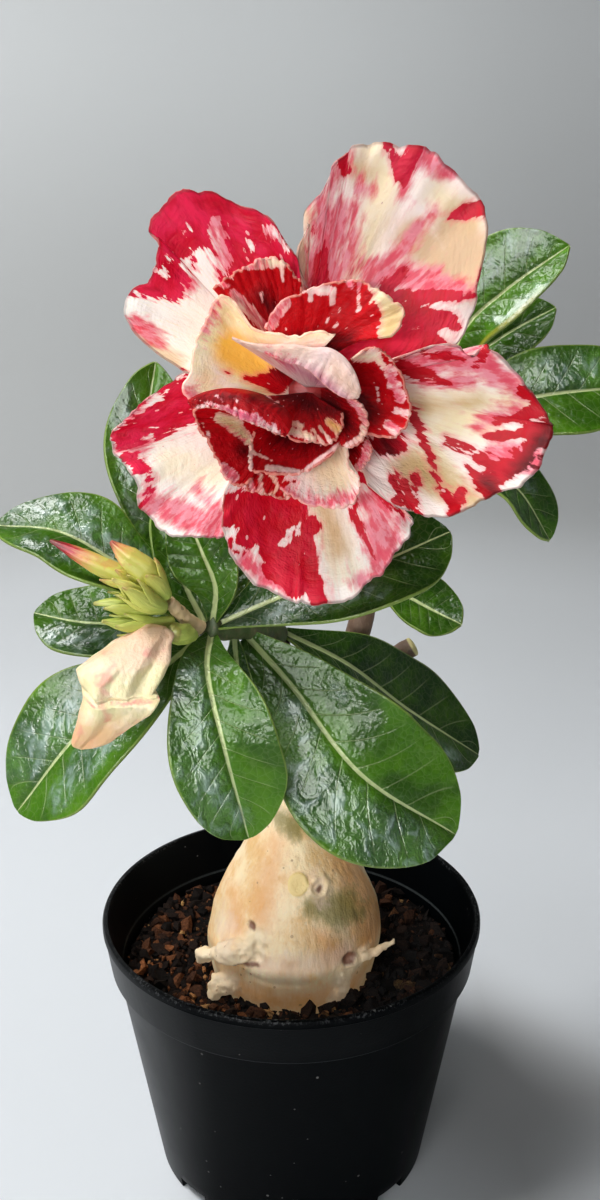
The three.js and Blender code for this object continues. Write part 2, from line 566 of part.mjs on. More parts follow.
function place(name, geometry, material) {
  const mesh = new THREE.Mesh(geometry, material);
  mesh.name = name;
  group.add(mesh);
}

place('pot', potGeometry(), finishes.pot);
place('soil', soilGeometry(), finishes.soil);
place('caudex', caudexGeometry(), finishes.caudex);
for (const stem of STEMS) {
  const geometry = limb(stem.points, stem.radii, STEM_STEPS, STEM_SIDES);
  place(stem.name, geometry, finishes[stem.finish]);
}
for (const leaf of LEAVES) {
  place(leaf.name, leafGeometry(leaf), finishes.leaf);
}
for (const petal of PETALS) {
  place(petal.name, petalGeometry(petal), finishes[petal.finish]);
}
place('flower_tube', flowerTubeGeometry(), finishes.tube);
for (const bud of BUDS) {
  place(bud.name, limb(bud.points, bud.radii, BUD_STEPS, BUD_SIDES), finishes[bud.finish]);
}

export default group;
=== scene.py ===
import functools
import math

import bpy
import numpy as np
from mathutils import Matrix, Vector, noise


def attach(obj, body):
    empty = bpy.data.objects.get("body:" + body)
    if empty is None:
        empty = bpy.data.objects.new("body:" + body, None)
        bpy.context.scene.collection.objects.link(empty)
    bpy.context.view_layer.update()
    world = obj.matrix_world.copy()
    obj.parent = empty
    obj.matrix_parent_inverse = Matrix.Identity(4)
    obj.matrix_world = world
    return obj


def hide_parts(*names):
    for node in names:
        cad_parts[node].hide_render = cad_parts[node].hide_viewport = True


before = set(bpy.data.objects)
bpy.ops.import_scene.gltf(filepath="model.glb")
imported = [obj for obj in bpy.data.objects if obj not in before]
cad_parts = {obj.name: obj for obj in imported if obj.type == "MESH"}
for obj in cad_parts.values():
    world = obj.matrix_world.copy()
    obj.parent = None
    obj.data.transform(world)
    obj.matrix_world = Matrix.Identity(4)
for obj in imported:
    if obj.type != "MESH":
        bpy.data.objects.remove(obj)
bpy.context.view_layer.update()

bl_info = {
    "name": "Potted Desert Rose",
    "version": (1, 0, 0),
    "blender": (4, 5, 0),
    "location": "View3D > Sidebar > Desert Rose",
    "description": "Dresses the measured frame of a potted desert rose with its visible surfaces",
    "category": "Object",
}

MM = 0.001


def colour(red, green, blue):
    """A colour given as 0 to 255 steps, as the linear RGBA that shaders use."""
    steps = (value / 255 for value in (red, green, blue))
    linear = (v / 12.92 if v <= 0.04045 else ((v + 0.055) / 1.055) ** 2.4 for v in steps)
    return (*linear, 1.0)


# ---- Sizes and places, in millimetres ------------------------------------------------------

# How fine the round meshes are: sides around, and rings along where a mesh has rings.
TURNED_SIDES = 96
THROAT_SIDES = DRAIN_SIDES = 32
STUB_MESH = (24, 30)
STEM_MESH = (32, 72)
TUBE_MESH = (32, 60)
BUD_MESH = (40, 56)
WILTED_MESH = (96, 90)

CAMERA_PLACE = (2.36, -295.9, 258.3)
CAMERA_PITCH = 0.304

POT_SIDES = 144
POT_PROFILE = [
    (9, 0), (11, 4), (34.4, 4), (34.4, 0.4), (34.8, 0), (38.1, 0), (38.5, 0.4), (39.44, 6),
    (48.9, 62.2), (50.2, 62.5), (50.65, 63.1), (52.15, 73.6), (52.5, 74), (52.5, 75.2),
    (52.2, 75.8), (51.7, 76), (51.1, 75.9), (50.8, 75.4), (49.1, 65.4), (47.4, 62.4),
    (37.9, 6.4), (37.5, 6),
]
POT_FLOOR = 4
# Height of the collar's lower edge, along which a pale line of painted highlight runs.
COLLAR_HIGHLIGHT_HEIGHT = 62.4
NOTCHES = 4
FIRST_NOTCH = math.radians(45)
NOTCH_SIZE = (12, 10, 7.2)
NOTCH_CIRCLE = 38.4
DRAIN_RADIUS = 3.5
DRAIN_CIRCLE = 22

SOIL_PROFILE = [
    (20, 46), (21.4, 45.6), (22.2, 50), (24.4, 57.2), (25.6, 57.6), (28, 57.8), (31, 58.1),
    (34, 58.5), (37, 58.8), (40, 59), (43, 59.3), (46, 59.5), (45.2, 55), (37.4, 7), (20, 6.4),
]
# From here to there along x the soil falls into the leaves' shade.
SOIL_SHADE = (0, 26)
CRUMB_INNER = 22.6
CRUMB_OUTER = 46.2

CAUDEX_PROFILE = [
    (0.5, 46), (15, 46), (21.5, 53), (22.8, 58), (23.8, 62), (24.2, 68), (23.2, 75), (20.4, 83),
    (16.8, 90), (13.2, 96), (9.4, 102), (6.6, 108), (5.4, 114), (5, 119), (0.5, 120.5),
]
CAUDEX_LEAN = 0.9
CAUDEX_NECK_SHIFT = -1.2
ROOT_STUBS = [
    {"points": [(-8.4, -20, 74.4), (-16, -18.2, 72.6), (-24.6, -12.4, 67.8)],
     "radii": [1.8, 3.4, 3.2, 1.5, 2.3]},
    {"points": [(-8.6, -19.4, 77.4), (-10.6, -20.6, 76.6), (-13, -18.6, 73)],
     "radii": [0.9, 1.4, 1.2]},
    {"points": [(-15, -17, 63), (-19.5, -17, 61.5), (-21, -18, 59.3)], "radii": [3.4, 3.2, 2.2]},
    {"points": [(12, -18, 68.4), (21.5, -14, 69), (28, -10.6, 71)], "radii": [2.4, 1.3, 0.6]},
    {"points": [(12, -18, 67), (13.8, -19.6, 63), (12.8, -20.5, 59.5)], "radii": [2.4, 1.9, 1.1]},
]

# How near a root's line the bark is lumpy and pale.
ROOT_REACH = 3.2
# Round marks on the front of the caudex: (x, z, radius), and for the holes also their depth.
SCAR = (1.8, 91.7, 2.8)
KNOT = (7.2, 90.4, 3.4)
CAUDEX_HOLES = [(-10.4, 80.8, 1.6, 0.8), (15.5, 70.6, 2, 0.8), (-12.5, 73.4, 1.6, 0.4)]
# The caudex's paints in the order they are laid on: colour, tear, edge and share, then strokes
# of (x, z, x, z, width, width) on its front. Pale follows the roots instead.
CAUDEX_PAINTS = {
    # Peach is the bark's own orange-tan; its last stroke, down the right flank, is also painted shade.
    "peach": (colour(228, 152, 78), 1.2, 3.5, 0.6, [
        (-4, 100, -8, 84, 5, 7), (-15, 84, -14, 79, 5, 4), (8, 79, 14, 72, 4, 5),
        (-14, 62, 16, 61, 8, 8), (15, 96, 22, 72, 8, 8)]),
    "green": (colour(122, 114, 38), 1.0, 1.8, 0.8, [
        (5, 86.4, 14, 83.6, 4, 8), (14, 83, 19, 80, 6, 3), (-2, 106, 1.5, 104, 5, 5)]),
    "blush": (colour(240, 206, 186), 1.4, 2.0, 0.5, [
        (5.6, 93, 8.4, 87, 2.4, 2.4), (-8, 72, 14, 72.4, 5, 6), (-16, 79, -18, 74, 4, 4)]),
    "pale": (colour(240, 222, 190), 0.6, 1.0, 0.6, None),
    "dark": (colour(112, 56, 30), 0.2, 0.5, 0.9, [
        (-10.4, 80.8, -10.4, 80.8, 2.2, 2.2), (15.5, 70.6, 15.5, 70.6, 3.6, 3.6),
        (7.4, 90, 7.4, 90, 1.6, 1.6), (-15, 70, -9, 71.6, 1.2, 1.4)]),
    "scar": (colour(246, 216, 146), 0.15, 0.2, 1.0, [(1.8, 91.7, 1.8, 91.7, 5.4, 5.4)]),
}
# The value of a paint far outside its strokes, and a place that lies there.
FAR_OUTSIDE = -20
OFF_THE_FRONT = 200

STEMS = [
    {"name": "stem_main", "tone": 0.1, "radii": [4.2, 3.6, 3.4, 3.6, 3.4],
     "points": [(-1.2, 0, 119.6), (-1.5, -3, 131), (-3, -10, 146), (-3.5, -17.6, 160)]},
    {"name": "branch_left", "tone": 0.75, "radii": [3.3, 3.2, 2.8, 2.9, 3.2],
     "points": [(-3.6, -18.7, 162.1), (-5, -20.6, 164.3), (-10, -26, 166.7), (-15, -31, 168.5),
                (-19, -35, 170)]},
    {"name": "branch_right", "tone": 0.2, "radii": [3, 3.3, 3.2, 3.2, 3],
     "points": [(1.5, 0.6, 122), (12, 2, 140), (18, 2, 158), (20, 3, 175), (28, 4, 196),
                (33, 5, 211)]},
    {"name": "branch_stub", "tone": 0.3, "radii": [2.4, 2.7, 2.7],
     "points": [(14.8, 5.9, 138.4), (22, 11, 142), (33, 12, 148.5)]},
    {"name": "bud_stalk", "tone": 0.5, "radii": [1.8, 1.6, 1.6, 1.4],
     "points": [(-20.4, -38.5, 170.9), (-23, -41.2, 174), (-26.4, -44.6, 179)]},
]
# A limb's mesh rounds each of its ends with this many rings.
CAP_RINGS = 4

# Each leaf runs from its petiole through two bends to its tip; faces is the way its upper side
# looks, fold is how far its margins rise, wave is their ripple and tone runs from dark to bright,
# partly the leaf's own green and partly painted shade on leaves that lie in shade.
# Sheen is strokes of (across, along, across, along, width, width) where a pale sheen is painted
# into the colour and the coat is glossier, crumple is how rough it is, curl is how olive its right
# margin turns, and halves narrows the left and the right half.
LEAVES = [
    {"name": "leaf_01", "width": 37, "fold": 3, "wave": 0.8, "faces": (-0.2, -0.75, 0.6), "tone": 0.6,
     "painted_sheen": [(10, 36, 10, 62, 12, 15), (3, 20, 6, 32, 4, 6), (-8, 22, -8, 24, 2, 2)],
     "path": [(-9, -28.5, 164.1), (0, -35, 156), (16, -45, 138), (39.5, -40, 119.5)]},
    {"name": "leaf_02", "width": 25, "fold": 2.5, "wave": 0.7, "faces": (0.1, -0.85, 0.5), "tone": 0.65,
     "painted_sheen": [(6, 14, 7, 44, 9, 9), (3, 42, 1, 47, 5, 4)],
     "path": [(-18, -38, 168.2), (-18, -49, 164.5), (-14, -59, 151), (-9, -56, 127)]},
    {"name": "leaf_03", "width": 30, "fold": 2, "wave": 0.7, "faces": (-0.3, -0.5, 0.8), "tone": 0.1,
     "painted_sheen": [(6, 42, 6, 58, 5, 4)],
     "path": [(0.5, -17, 161.5), (14, -13, 153), (31, -5, 137), (51, 2, 121)]},
    {"name": "leaf_04", "width": 28, "fold": 2.5, "wave": 1, "faces": (0.1, -0.6, 0.8), "tone": 0.12,
     "crumple": 0.5,
     "painted_sheen": [(4, 14, 6, 34, 6, 6), (-4, 36, -4, 46, 3, 3)],
     "path": [(-15, -35.4, 171.4), (-1, -36, 178), (17, -35, 184), (37, -28, 191)]},
    {"name": "leaf_05", "width": 17, "fold": 1.5, "wave": 0.4, "faces": (0, -0.7, 0.7), "tone": 0.15,
     "path": [(23.8, 2, 170.5), (29.5, 0, 167), (36, -1, 163.5), (44, -3, 160)]},
    {"name": "leaf_06", "width": 21, "fold": 2, "wave": 0.5, "faces": (0.4, -0.5, 0.7), "tone": 0.2,
     "painted_sheen": [(-4, 14, -4, 26, 4, 4)],
     "path": [(34.8, 3.7, 206), (44, 0, 202), (56, -4, 196), (65, -6, 183)]},
    {"name": "leaf_07", "width": 24, "fold": 2.5, "wave": 0.6, "faces": (0, -0.85, 0.5), "tone": 0.6,
     "crumple": 0.6,
     "painted_sheen": [(-5, 14, -5, 44, 6, 6)],
     "path": [(36.4, 3, 209.6), (47, -2, 215), (61, -6, 219), (88, -2, 221)]},
    {"name": "leaf_08", "width": 28, "fold": 3, "wave": 1, "faces": (-0.3, -0.8, 0.3), "tone": 0.9,
     "crumple": 0.5, "curl": 0.8, "halves": (1, 0.62),
     "painted_sheen": [(-6, 18, -7, 46, 7, 7), (6, 30, 7, 44, 4, 4)],
     "path": [(36.6, 4.8, 213), (42.5, 4, 233.5), (52, 3, 243), (66, 0, 253.5)]},
    {"name": "leaf_09", "width": 18, "fold": 2, "wave": 0.6, "faces": (-0.3, -0.85, 0.4), "tone": 0.7,
     "painted_sheen": [(-3, 10, -4, 26, 4, 4)],
     "path": [(34.1, 8, 211.3), (44, 13, 224), (54.5, 12, 232), (66, 11, 238.5)]},
    {"name": "leaf_10", "width": 21, "fold": 2, "wave": 0.7, "faces": (0.2, -0.8, 0.5), "tone": 0.5,
     "crumple": 0.5,
     "painted_sheen": [(-6, 28, -6, 54, 5, 5)],
     "path": [(-19, -32.2, 172.9), (-28.5, -21, 189), (-33.5, -16, 210), (-31.5, -11, 227.5)]},
    {"name": "leaf_11", "width": 16, "fold": 1.5, "wave": 0.4, "faces": (0.2, -0.85, 0.4), "tone": 0.4,
     "painted_sheen": [(0, 12, -3, 26, 4, 4)],
     "path": [(-20.3, -36.3, 173.2), (-24.6, -32.6, 182), (-24.2, -27.6, 192), (-21.5, -24, 205)]},
    {"name": "leaf_12", "width": 16, "fold": 1.5, "wave": 0.4, "faces": (-0.2, -0.85, 0.4), "tone": 0.5,
     "path": [(-17.4, -36.3, 173.1), (-16.8, -36.6, 180), (-19.7, -35.8, 188), (-24, -33.4, 198)]},
    {"name": "leaf_13", "width": 24, "fold": 2, "wave": 0.8, "faces": (0, -0.45, 0.9), "tone": 0.5,
     "crumple": 0.6,
     "painted_sheen": [(4, 10, 5, 46, 6, 7), (-6, 26, -7, 42, 4, 4)],
     "path": [(-22.1, -34.7, 172), (-38.5, -37.5, 186), (-51.5, -36, 193), (-66, -34, 194)]},
    {"name": "leaf_14", "width": 24, "fold": 1.5, "wave": 0.5, "faces": (0, -0.5, 0.87), "tone": 0.3,
     "crumple": 0.3,
     "painted_sheen": [(-6, 8, -6, 34, 8, 8)],
     "path": [(-21.4, -31.8, 169.2), (-42.5, -28, 168.5), (-51, -26, 168.5), (-61, -24, 170)]},
    {"name": "leaf_15", "width": 29, "fold": 2.5, "wave": 1, "faces": (-0.2, -0.75, 0.6), "tone": 0.55,
     "crumple": 0.7,
     "painted_sheen": [(6, 22, 6, 50, 9, 9), (-7, 30, -7, 46, 6, 6)],
     "path": [(-21.6, -37.3, 167.2), (-32, -43, 160), (-46.5, -48, 150), (-63, -46.5, 129)]},
    {"name": "leaf_16", "width": 13, "fold": 1, "wave": 0.3, "faces": (0, -0.8, 0.5), "tone": 0.3,
     "path": [(-15, -30.4, 172.2), (-14, -24, 178), (-14, -18, 186), (-13, -13, 196)]},
    {"name": "leaf_17", "width": 9, "fold": 1, "wave": 0.3, "faces": (0, -0.8, 0.5), "tone": 0.4,
     "path": [(-13, -29.6, 164.4), (-12.5, -30, 159), (-11.5, -30, 153), (-10.5, -29, 145)]},
]
LEAF_COLUMNS = 49
LEAF_ROWS = 81
PETIOLE_SHARE = 0.11
LEAF_VEINS = 9
# How far a petiole's root sinks into its branch.
PETIOLE_ROOT = 1.8
# The wax bends towards this direction, so that it mirrors the window.
WAX_FACING = (-0.23, -0.85, 0.48)

# The flower's own frame: a to the right, b up and c out towards its face.
FLOWER_CENTRE = (3.5, -45, 222)
FLOWER_OUT = np.array((0, -0.99, 0.143)) / math.hypot(0.99, 0.143)
FLOWER_RIGHT = np.array((1.0, 0, 0))
FLOWER_UP = np.cross(FLOWER_OUT, FLOWER_RIGHT)
PETAL_COLUMNS = 97
PETAL_ROWS = 57
PAINTS = ("pink", "warm", "tan", "glow", "mauve", "dark")
NO_PAINT = -8
RED_GROUND = 6
PALE_GROUND = -6

# A petal is stretched between lines of (a, b, c) from its root to its rim, with a and b as the
# camera sees them in the plane c = 0. Its paint is laid on in strokes of
# (a, b, a, b, width, width): red and pink on pale tissue, cream on red, and so on. Dark strokes
# are painted shade in deep red, and on the right-hand outer petals tan is partly painted shade.
# A habit is what its petals share unless they say otherwise: ground is red or pale tissue, tear
# is how ragged the red is, rosy how pink it is, lit is painted light (a glow on every petal, and a
# whiter tint on lit outer petals) and flush is a pale blush.
OUTER_HABIT = {"outer": 1, "dish": 1.5, "ruffle": 0.7, "ground": PALE_GROUND, "rosy": 0,
               "lit": 0.04, "flush": 0}
INNER_HABIT = {"outer": 0, "dish": 0, "ruffle": 0.3, "ground": RED_GROUND, "tear": 0.3, "rosy": 0,
               "lit": 0.04, "flush": 0}
OUTER_PETALS = [
    {"name": "outer_petal_1", "ground": RED_GROUND, "tear": 1.7, "rosy": 1, "lit": 0.14,
     "lines": [
        [(-5, 5.8, -9), (-3, 8.4, -9)],
        [(-24.5, 6.7, 1), (-30.2, 10.4, 1), (-35.6, 15.2, 1), (-37.3, 18.1, 1), (-37.1, 21.3, 1),
         (-35.4, 23.8, 0.5), (-32.7, 25.4, 0), (-31.3, 28.5, 0), (-30.2, 31.7, 0), (-30.4, 34, 0.5),
         (-32.7, 36, 1), (-30, 39.6, 1.5), (-27.3, 42.1, 2), (-25.3, 43.5, 2), (-22.1, 43.1, 1.5),
         (-18.5, 42.9, 1), (-14.2, 41, 1), (-10.2, 39.6, 0.5), (-7.1, 37.5, 0), (-4, 33.5, -1),
         (-1.7, 30, -1.5), (-1, 25, -2)]],
     "cream": [(-24.3, 36.2, -24.3, 35.8, 1.7, 1.7), (-23.7, 30, -23.9, 29.4, 2, 2),
         (-28.6, 29.2, -28.6, 29.2, 1.2, 1.2), (-29.4, 26.8, -29.4, 26.8, 1.4, 1.4),
         (-11.3, 33, -11.3, 32.2, 1.6, 1.6), (-12.3, 36.7, -12.3, 36.7, 0.9, 0.9),
         (-18.6, 36.5, -16.5, 30, 3, 4), (-20.5, 30, -20.5, 16, 4, 15), (-37, 18, -24, 14, 10, 12),
         (-35, 21, -27, 19, 4, 5), (-6.4, 35.6, -3.6, 31.6, 1.4, 1), (-28, 11, -20, 8, 6, 6)],
     "pink": [(-30, 40, -12, 38, 5, 5), (-17.6, 38, -15, 28, 6, 6), (-35, 17, -30, 13, 4, 3),
         (-10, 37, -5, 28, 6, 5), (-29, 25, -24, 25, 3, 3)],
     "tan": [(-35.5, 15.5, -27, 8.5, 3.4, 3.4)]},
    {"name": "outer_petal_2", "tear": 0.9, "rosy": 0.6, "lit": 0.03, "flush": 0.15,
     "lines": [
        [(-1, 9.4, -9), (3, 9, -9)],
        [(0.4, 24.2, -4), (-1, 26.9, -4), (-1.7, 31, -4), (-0.4, 34.4, -3.5), (0.6, 36.5, -3),
         (-0.2, 38.5, -3), (2.3, 42.1, -2.5), (4.6, 45.4, -2), (5.6, 48.3, -2), (8.1, 50.2, -2),
         (9.6, 52.1, -2), (12.7, 52.3, -2), (15.4, 53.3, -2), (19, 52, -2), (22.1, 52.1, -2),
         (24.6, 51.5, -2), (27.1, 50.2, -2), (30.6, 46.9, -2), (34.2, 43.3, -2), (36.5, 40.2, -2),
         (37.3, 36.3, -2), (36.9, 30.2, -2), (35.8, 24, -2.5), (34.6, 19, -3), (32, 13, -3.5),
         (26, 8, -5)]],
     "red": [(7.2, 49.4, 8, 46.8, 2.8, 2.4), (16.8, 52.6, 19.2, 46, 1.8, 2.2),
         (22.2, 52, 19.6, 45.6, 2.6, 2), (28.6, 37.8, 36.6, 40, 0.8, 4.2), (36, 27.8, 36, 24.2, 1.2, 1.2),
         (16.4, 23.9, 20.8, 27.6, 4, 1.4), (17, 22, 34.4, 22.4, 4, 1.2), (1.4, 35.6, 2.4, 33, 1, 1.4),
         (3.6, 31, 3.2, 25, 2.4, 3.4), (14, 20, 30, 17, 6, 4), (2, 14, 26, 12, 9, 7)],
     "pink": [(23, 50.4, 30, 47.4, 5, 4), (4.4, 37, 4, 24, 6, 9), (3, 30, 6, 18, 4, 6),
         (7, 41, 8, 28, 2.6, 4), (11.9, 43.6, 11.9, 43.6, 4, 4), (14, 27, 32, 24, 7, 5),
         (20, 47, 20, 42, 2, 1), (10, 40, 9, 30, 2, 3), (26, 40, 16, 26, 2, 4), (2, 42, 5, 38, 3, 3),
         (8, 50, 5, 44, 3, 3)],
     "warm": [(14, 50, 16, 44, 7, 6), (16, 45, 10.4, 26, 6, 5), (27, 42, 33, 38, 5, 5)],
     "tan": [(31, 35, 35, 27, 11, 11), (22, 34, 32, 26, 8, 8), (-1, 34, 0, 26, 3, 3),
         (0.6, 39, 1, 36, 3, 3), (9, 48, 12, 46, 4, 4)]},
    {"name": "outer_petal_3", "tear": 1.0, "rosy": 0.2, "lit": 0,
     "lines": [
        [(6.4, 5.8, -9), (6.6, 1.6, -9)],
        [(20.4, 10, 2), (24, 11.5, 2), (28.5, 12.7, 3), (32.1, 12.1, 3.5), (35, 10.2, 3.5),
         (37.9, 12.7, 4), (39, 11.5, 4), (42.9, 7.9, 4), (46, 4.4, 4), (48.5, 1, 4), (51.7, -3.5, 4),
         (51.9, -4.6, 4), (51.3, -8.5, 4), (49.2, -13.1, 4), (46.5, -15.6, 4), (45.2, -17.1, 4),
         (41.7, -18.3, 4), (38.3, -19.6, 4), (35, -21.3, 4), (32.1, -22.7, 4), (28.3, -23.5, 4),
         (24.6, -23.1, 3.5), (22.7, -22.3, 3), (18.6, -20.8, 2.5), (13.2, -16.4, 1)]],
     "red": [(49.6, 0, 40, -3.5, 3.6, 2), (51.4, -4.6, 38, -6.5, 4.5, 1.4), (49.6, -7.6, 40, -14, 4.6, 5),
         (45, 3.6, 46, 3, 2.6, 2.6), (29.5, -7.7, 35, -9, 2, 1.4), (37, -11, 49.8, -11.6, 2.8, 3.4),
         (33.2, -12.2, 39.3, -18.6, 1, 4), (29.6, -18, 31.5, -22.6, 1.2, 2.4),
         (32.8, -17.8, 31.8, -21.5, 1.6, 2.4), (18.6, -15, 19.8, -20, 2, 2.6),
         (23, -14.6, 24, -23, 1.6, 1.6), (20.5, -17, 22.5, -20.5, 3, 3),
         (22.5, -1.5, 28.2, -16.8, 2, 0.8), (17, -7, 19, -8, 7, 5), (20, 8, 29, 5, 4, 1.4),
         (37.6, 12, 35.5, 8, 1.8, 1), (24, 11, 33, 9.6, 1.6, 1)],
     "cream": [(43.3, -9.2, 45.4, -9.2, 1, 1), (39, -10.5, 43.5, -10.5, 1.4, 1.4),
         (48.5, -9.6, 50.6, -9.6, 1, 1), (46.4, -12, 50, -12, 1.2, 1.2),
         (39.2, -14.2, 42.4, -17.4, 0.6, 0.6)],
     "pink": [(22, 9.4, 34, 9.4, 6, 6), (36, 9.4, 45, 3, 6, 4), (25, 5, 34, 5.6, 3, 3),
         (44, -1, 36, -4, 5, 3), (40, -10, 48, -11, 6, 6)],
     "warm": [(21.6, 1.3, 46, 0.7, 4, 4), (26, -2, 38, -4, 9, 6), (26, -12, 30, -16, 8, 6)],
     "tan": [(24, 0, 36, 1, 2, 2), (26, -9, 27, -16, 2, 2), (22, -13, 36, -20, 8, 5)],
     "dark": [(51, -5, 46, -15, 4, 5), (38, -16, 40, -19, 2, 2), (16, -6, 18, -10, 4, 4)]},
    {"name": "outer_petal_4", "tear": 0.9, "rosy": 0.4, "lit": 0.1, "flush": 0.1,
     "lines": [
        [(3.6, -2.6, -9), (-1.2, -3.2, -9)],
        [(16.7, -16.7, -2), (20.2, -22.5, -1.5), (22.7, -23.8, -1), (22.3, -27.1, 0), (20.2, -30.2, 0),
         (17.1, -35, 1), (13.3, -37.7, 1), (9.6, -41, 1.5), (4.6, -41.9, 2), (-0.8, -42.3, 2.5),
         (-2.9, -41.3, 3), (-7.5, -39.8, 3), (-12.3, -36.7, 3), (-15, -33.1, 3), (-17.3, -27.9, 3),
         (-17.9, -23.3, 3), (-16.9, -17.7, 2.5), (-15.5, -14.5, 2)]],
     "red": [(-2, -18.5, -16, -22, 6, 8), (-3, -22, -14.4, -29, 7, 4), (1.5, -25, -4, -31, 4, 4),
         (-8, -24, -6, -33, 8, 6), (0, -30, 3, -42, 5, 4), (-6, -28, -2, -38, 5, 5),
         (12, -14.5, 20.5, -22.8, 2.6, 1), (9.7, -19.6, 14.7, -32, 1.6, 0.8), (-8, -34, -5, -37, 3, 2)],
     "cream": [(-14.6, -29.5, -10.6, -31.6, 1.6, 1), (-4.6, -29, -1.4, -26.4, 1, 0.6)],
     "pink": [(15, -20, 17, -33, 7, 7), (-13, -33, -5, -38, 4, 4), (20, -24, 17, -35, 3, 3),
         (11, -37, 16, -35, 3, 3)],
     "warm": [(3, -20, 8, -34, 6, 7)], "tan": [(3, -18, 7, -30, 5, 4)]},
    {"name": "outer_petal_5", "tear": 1.3, "rosy": 0.9, "lit": 0.1,
     "lines": [
        [(-4, -1.6, -9), (-5.6, 2.6, -9)],
        [(-15, -21, -4), (-17.9, -27.7, -3), (-20.6, -27.7, -3), (-24.4, -27.5, -2.5), (-29.4, -27.1, -2),
         (-32.7, -24.2, -2), (-35.2, -21.5, -2), (-36, -15.8, -2), (-38.8, -12.1, -2), (-40.6, -9.4, -2),
         (-40.8, -6, -2), (-37.9, -2.9, -2), (-35, 0, -2), (-30.8, 3.1, -2), (-25.8, 6.7, -3),
         (-22, 8, -3.5)]],
     "red": [(-24, 3, -38.5, -6.6, 7, 4.6), (-28, 5, -34, 0, 2.4, 2.4), (-24, -2, -31, -5, 4, 3),
         (-38, -10.8, -34, -13.3, 2, 3.4), (-32.8, -17.7, -35.2, -21.5, 1, 1)],
     "cream": [(-36.4, -2.6, -31, 1.8, 1.2, 1)],
     "pink": [(-33, -20, -20, -25, 5, 7), (-33, 2, -38, -3, 3, 3), (-34, -8, -39, -8, 3, 3),
         (-22, -18, -18, -24, 3, 5)],
     "warm": [(-28, -12, -20, -14, 7, 7)]},
]

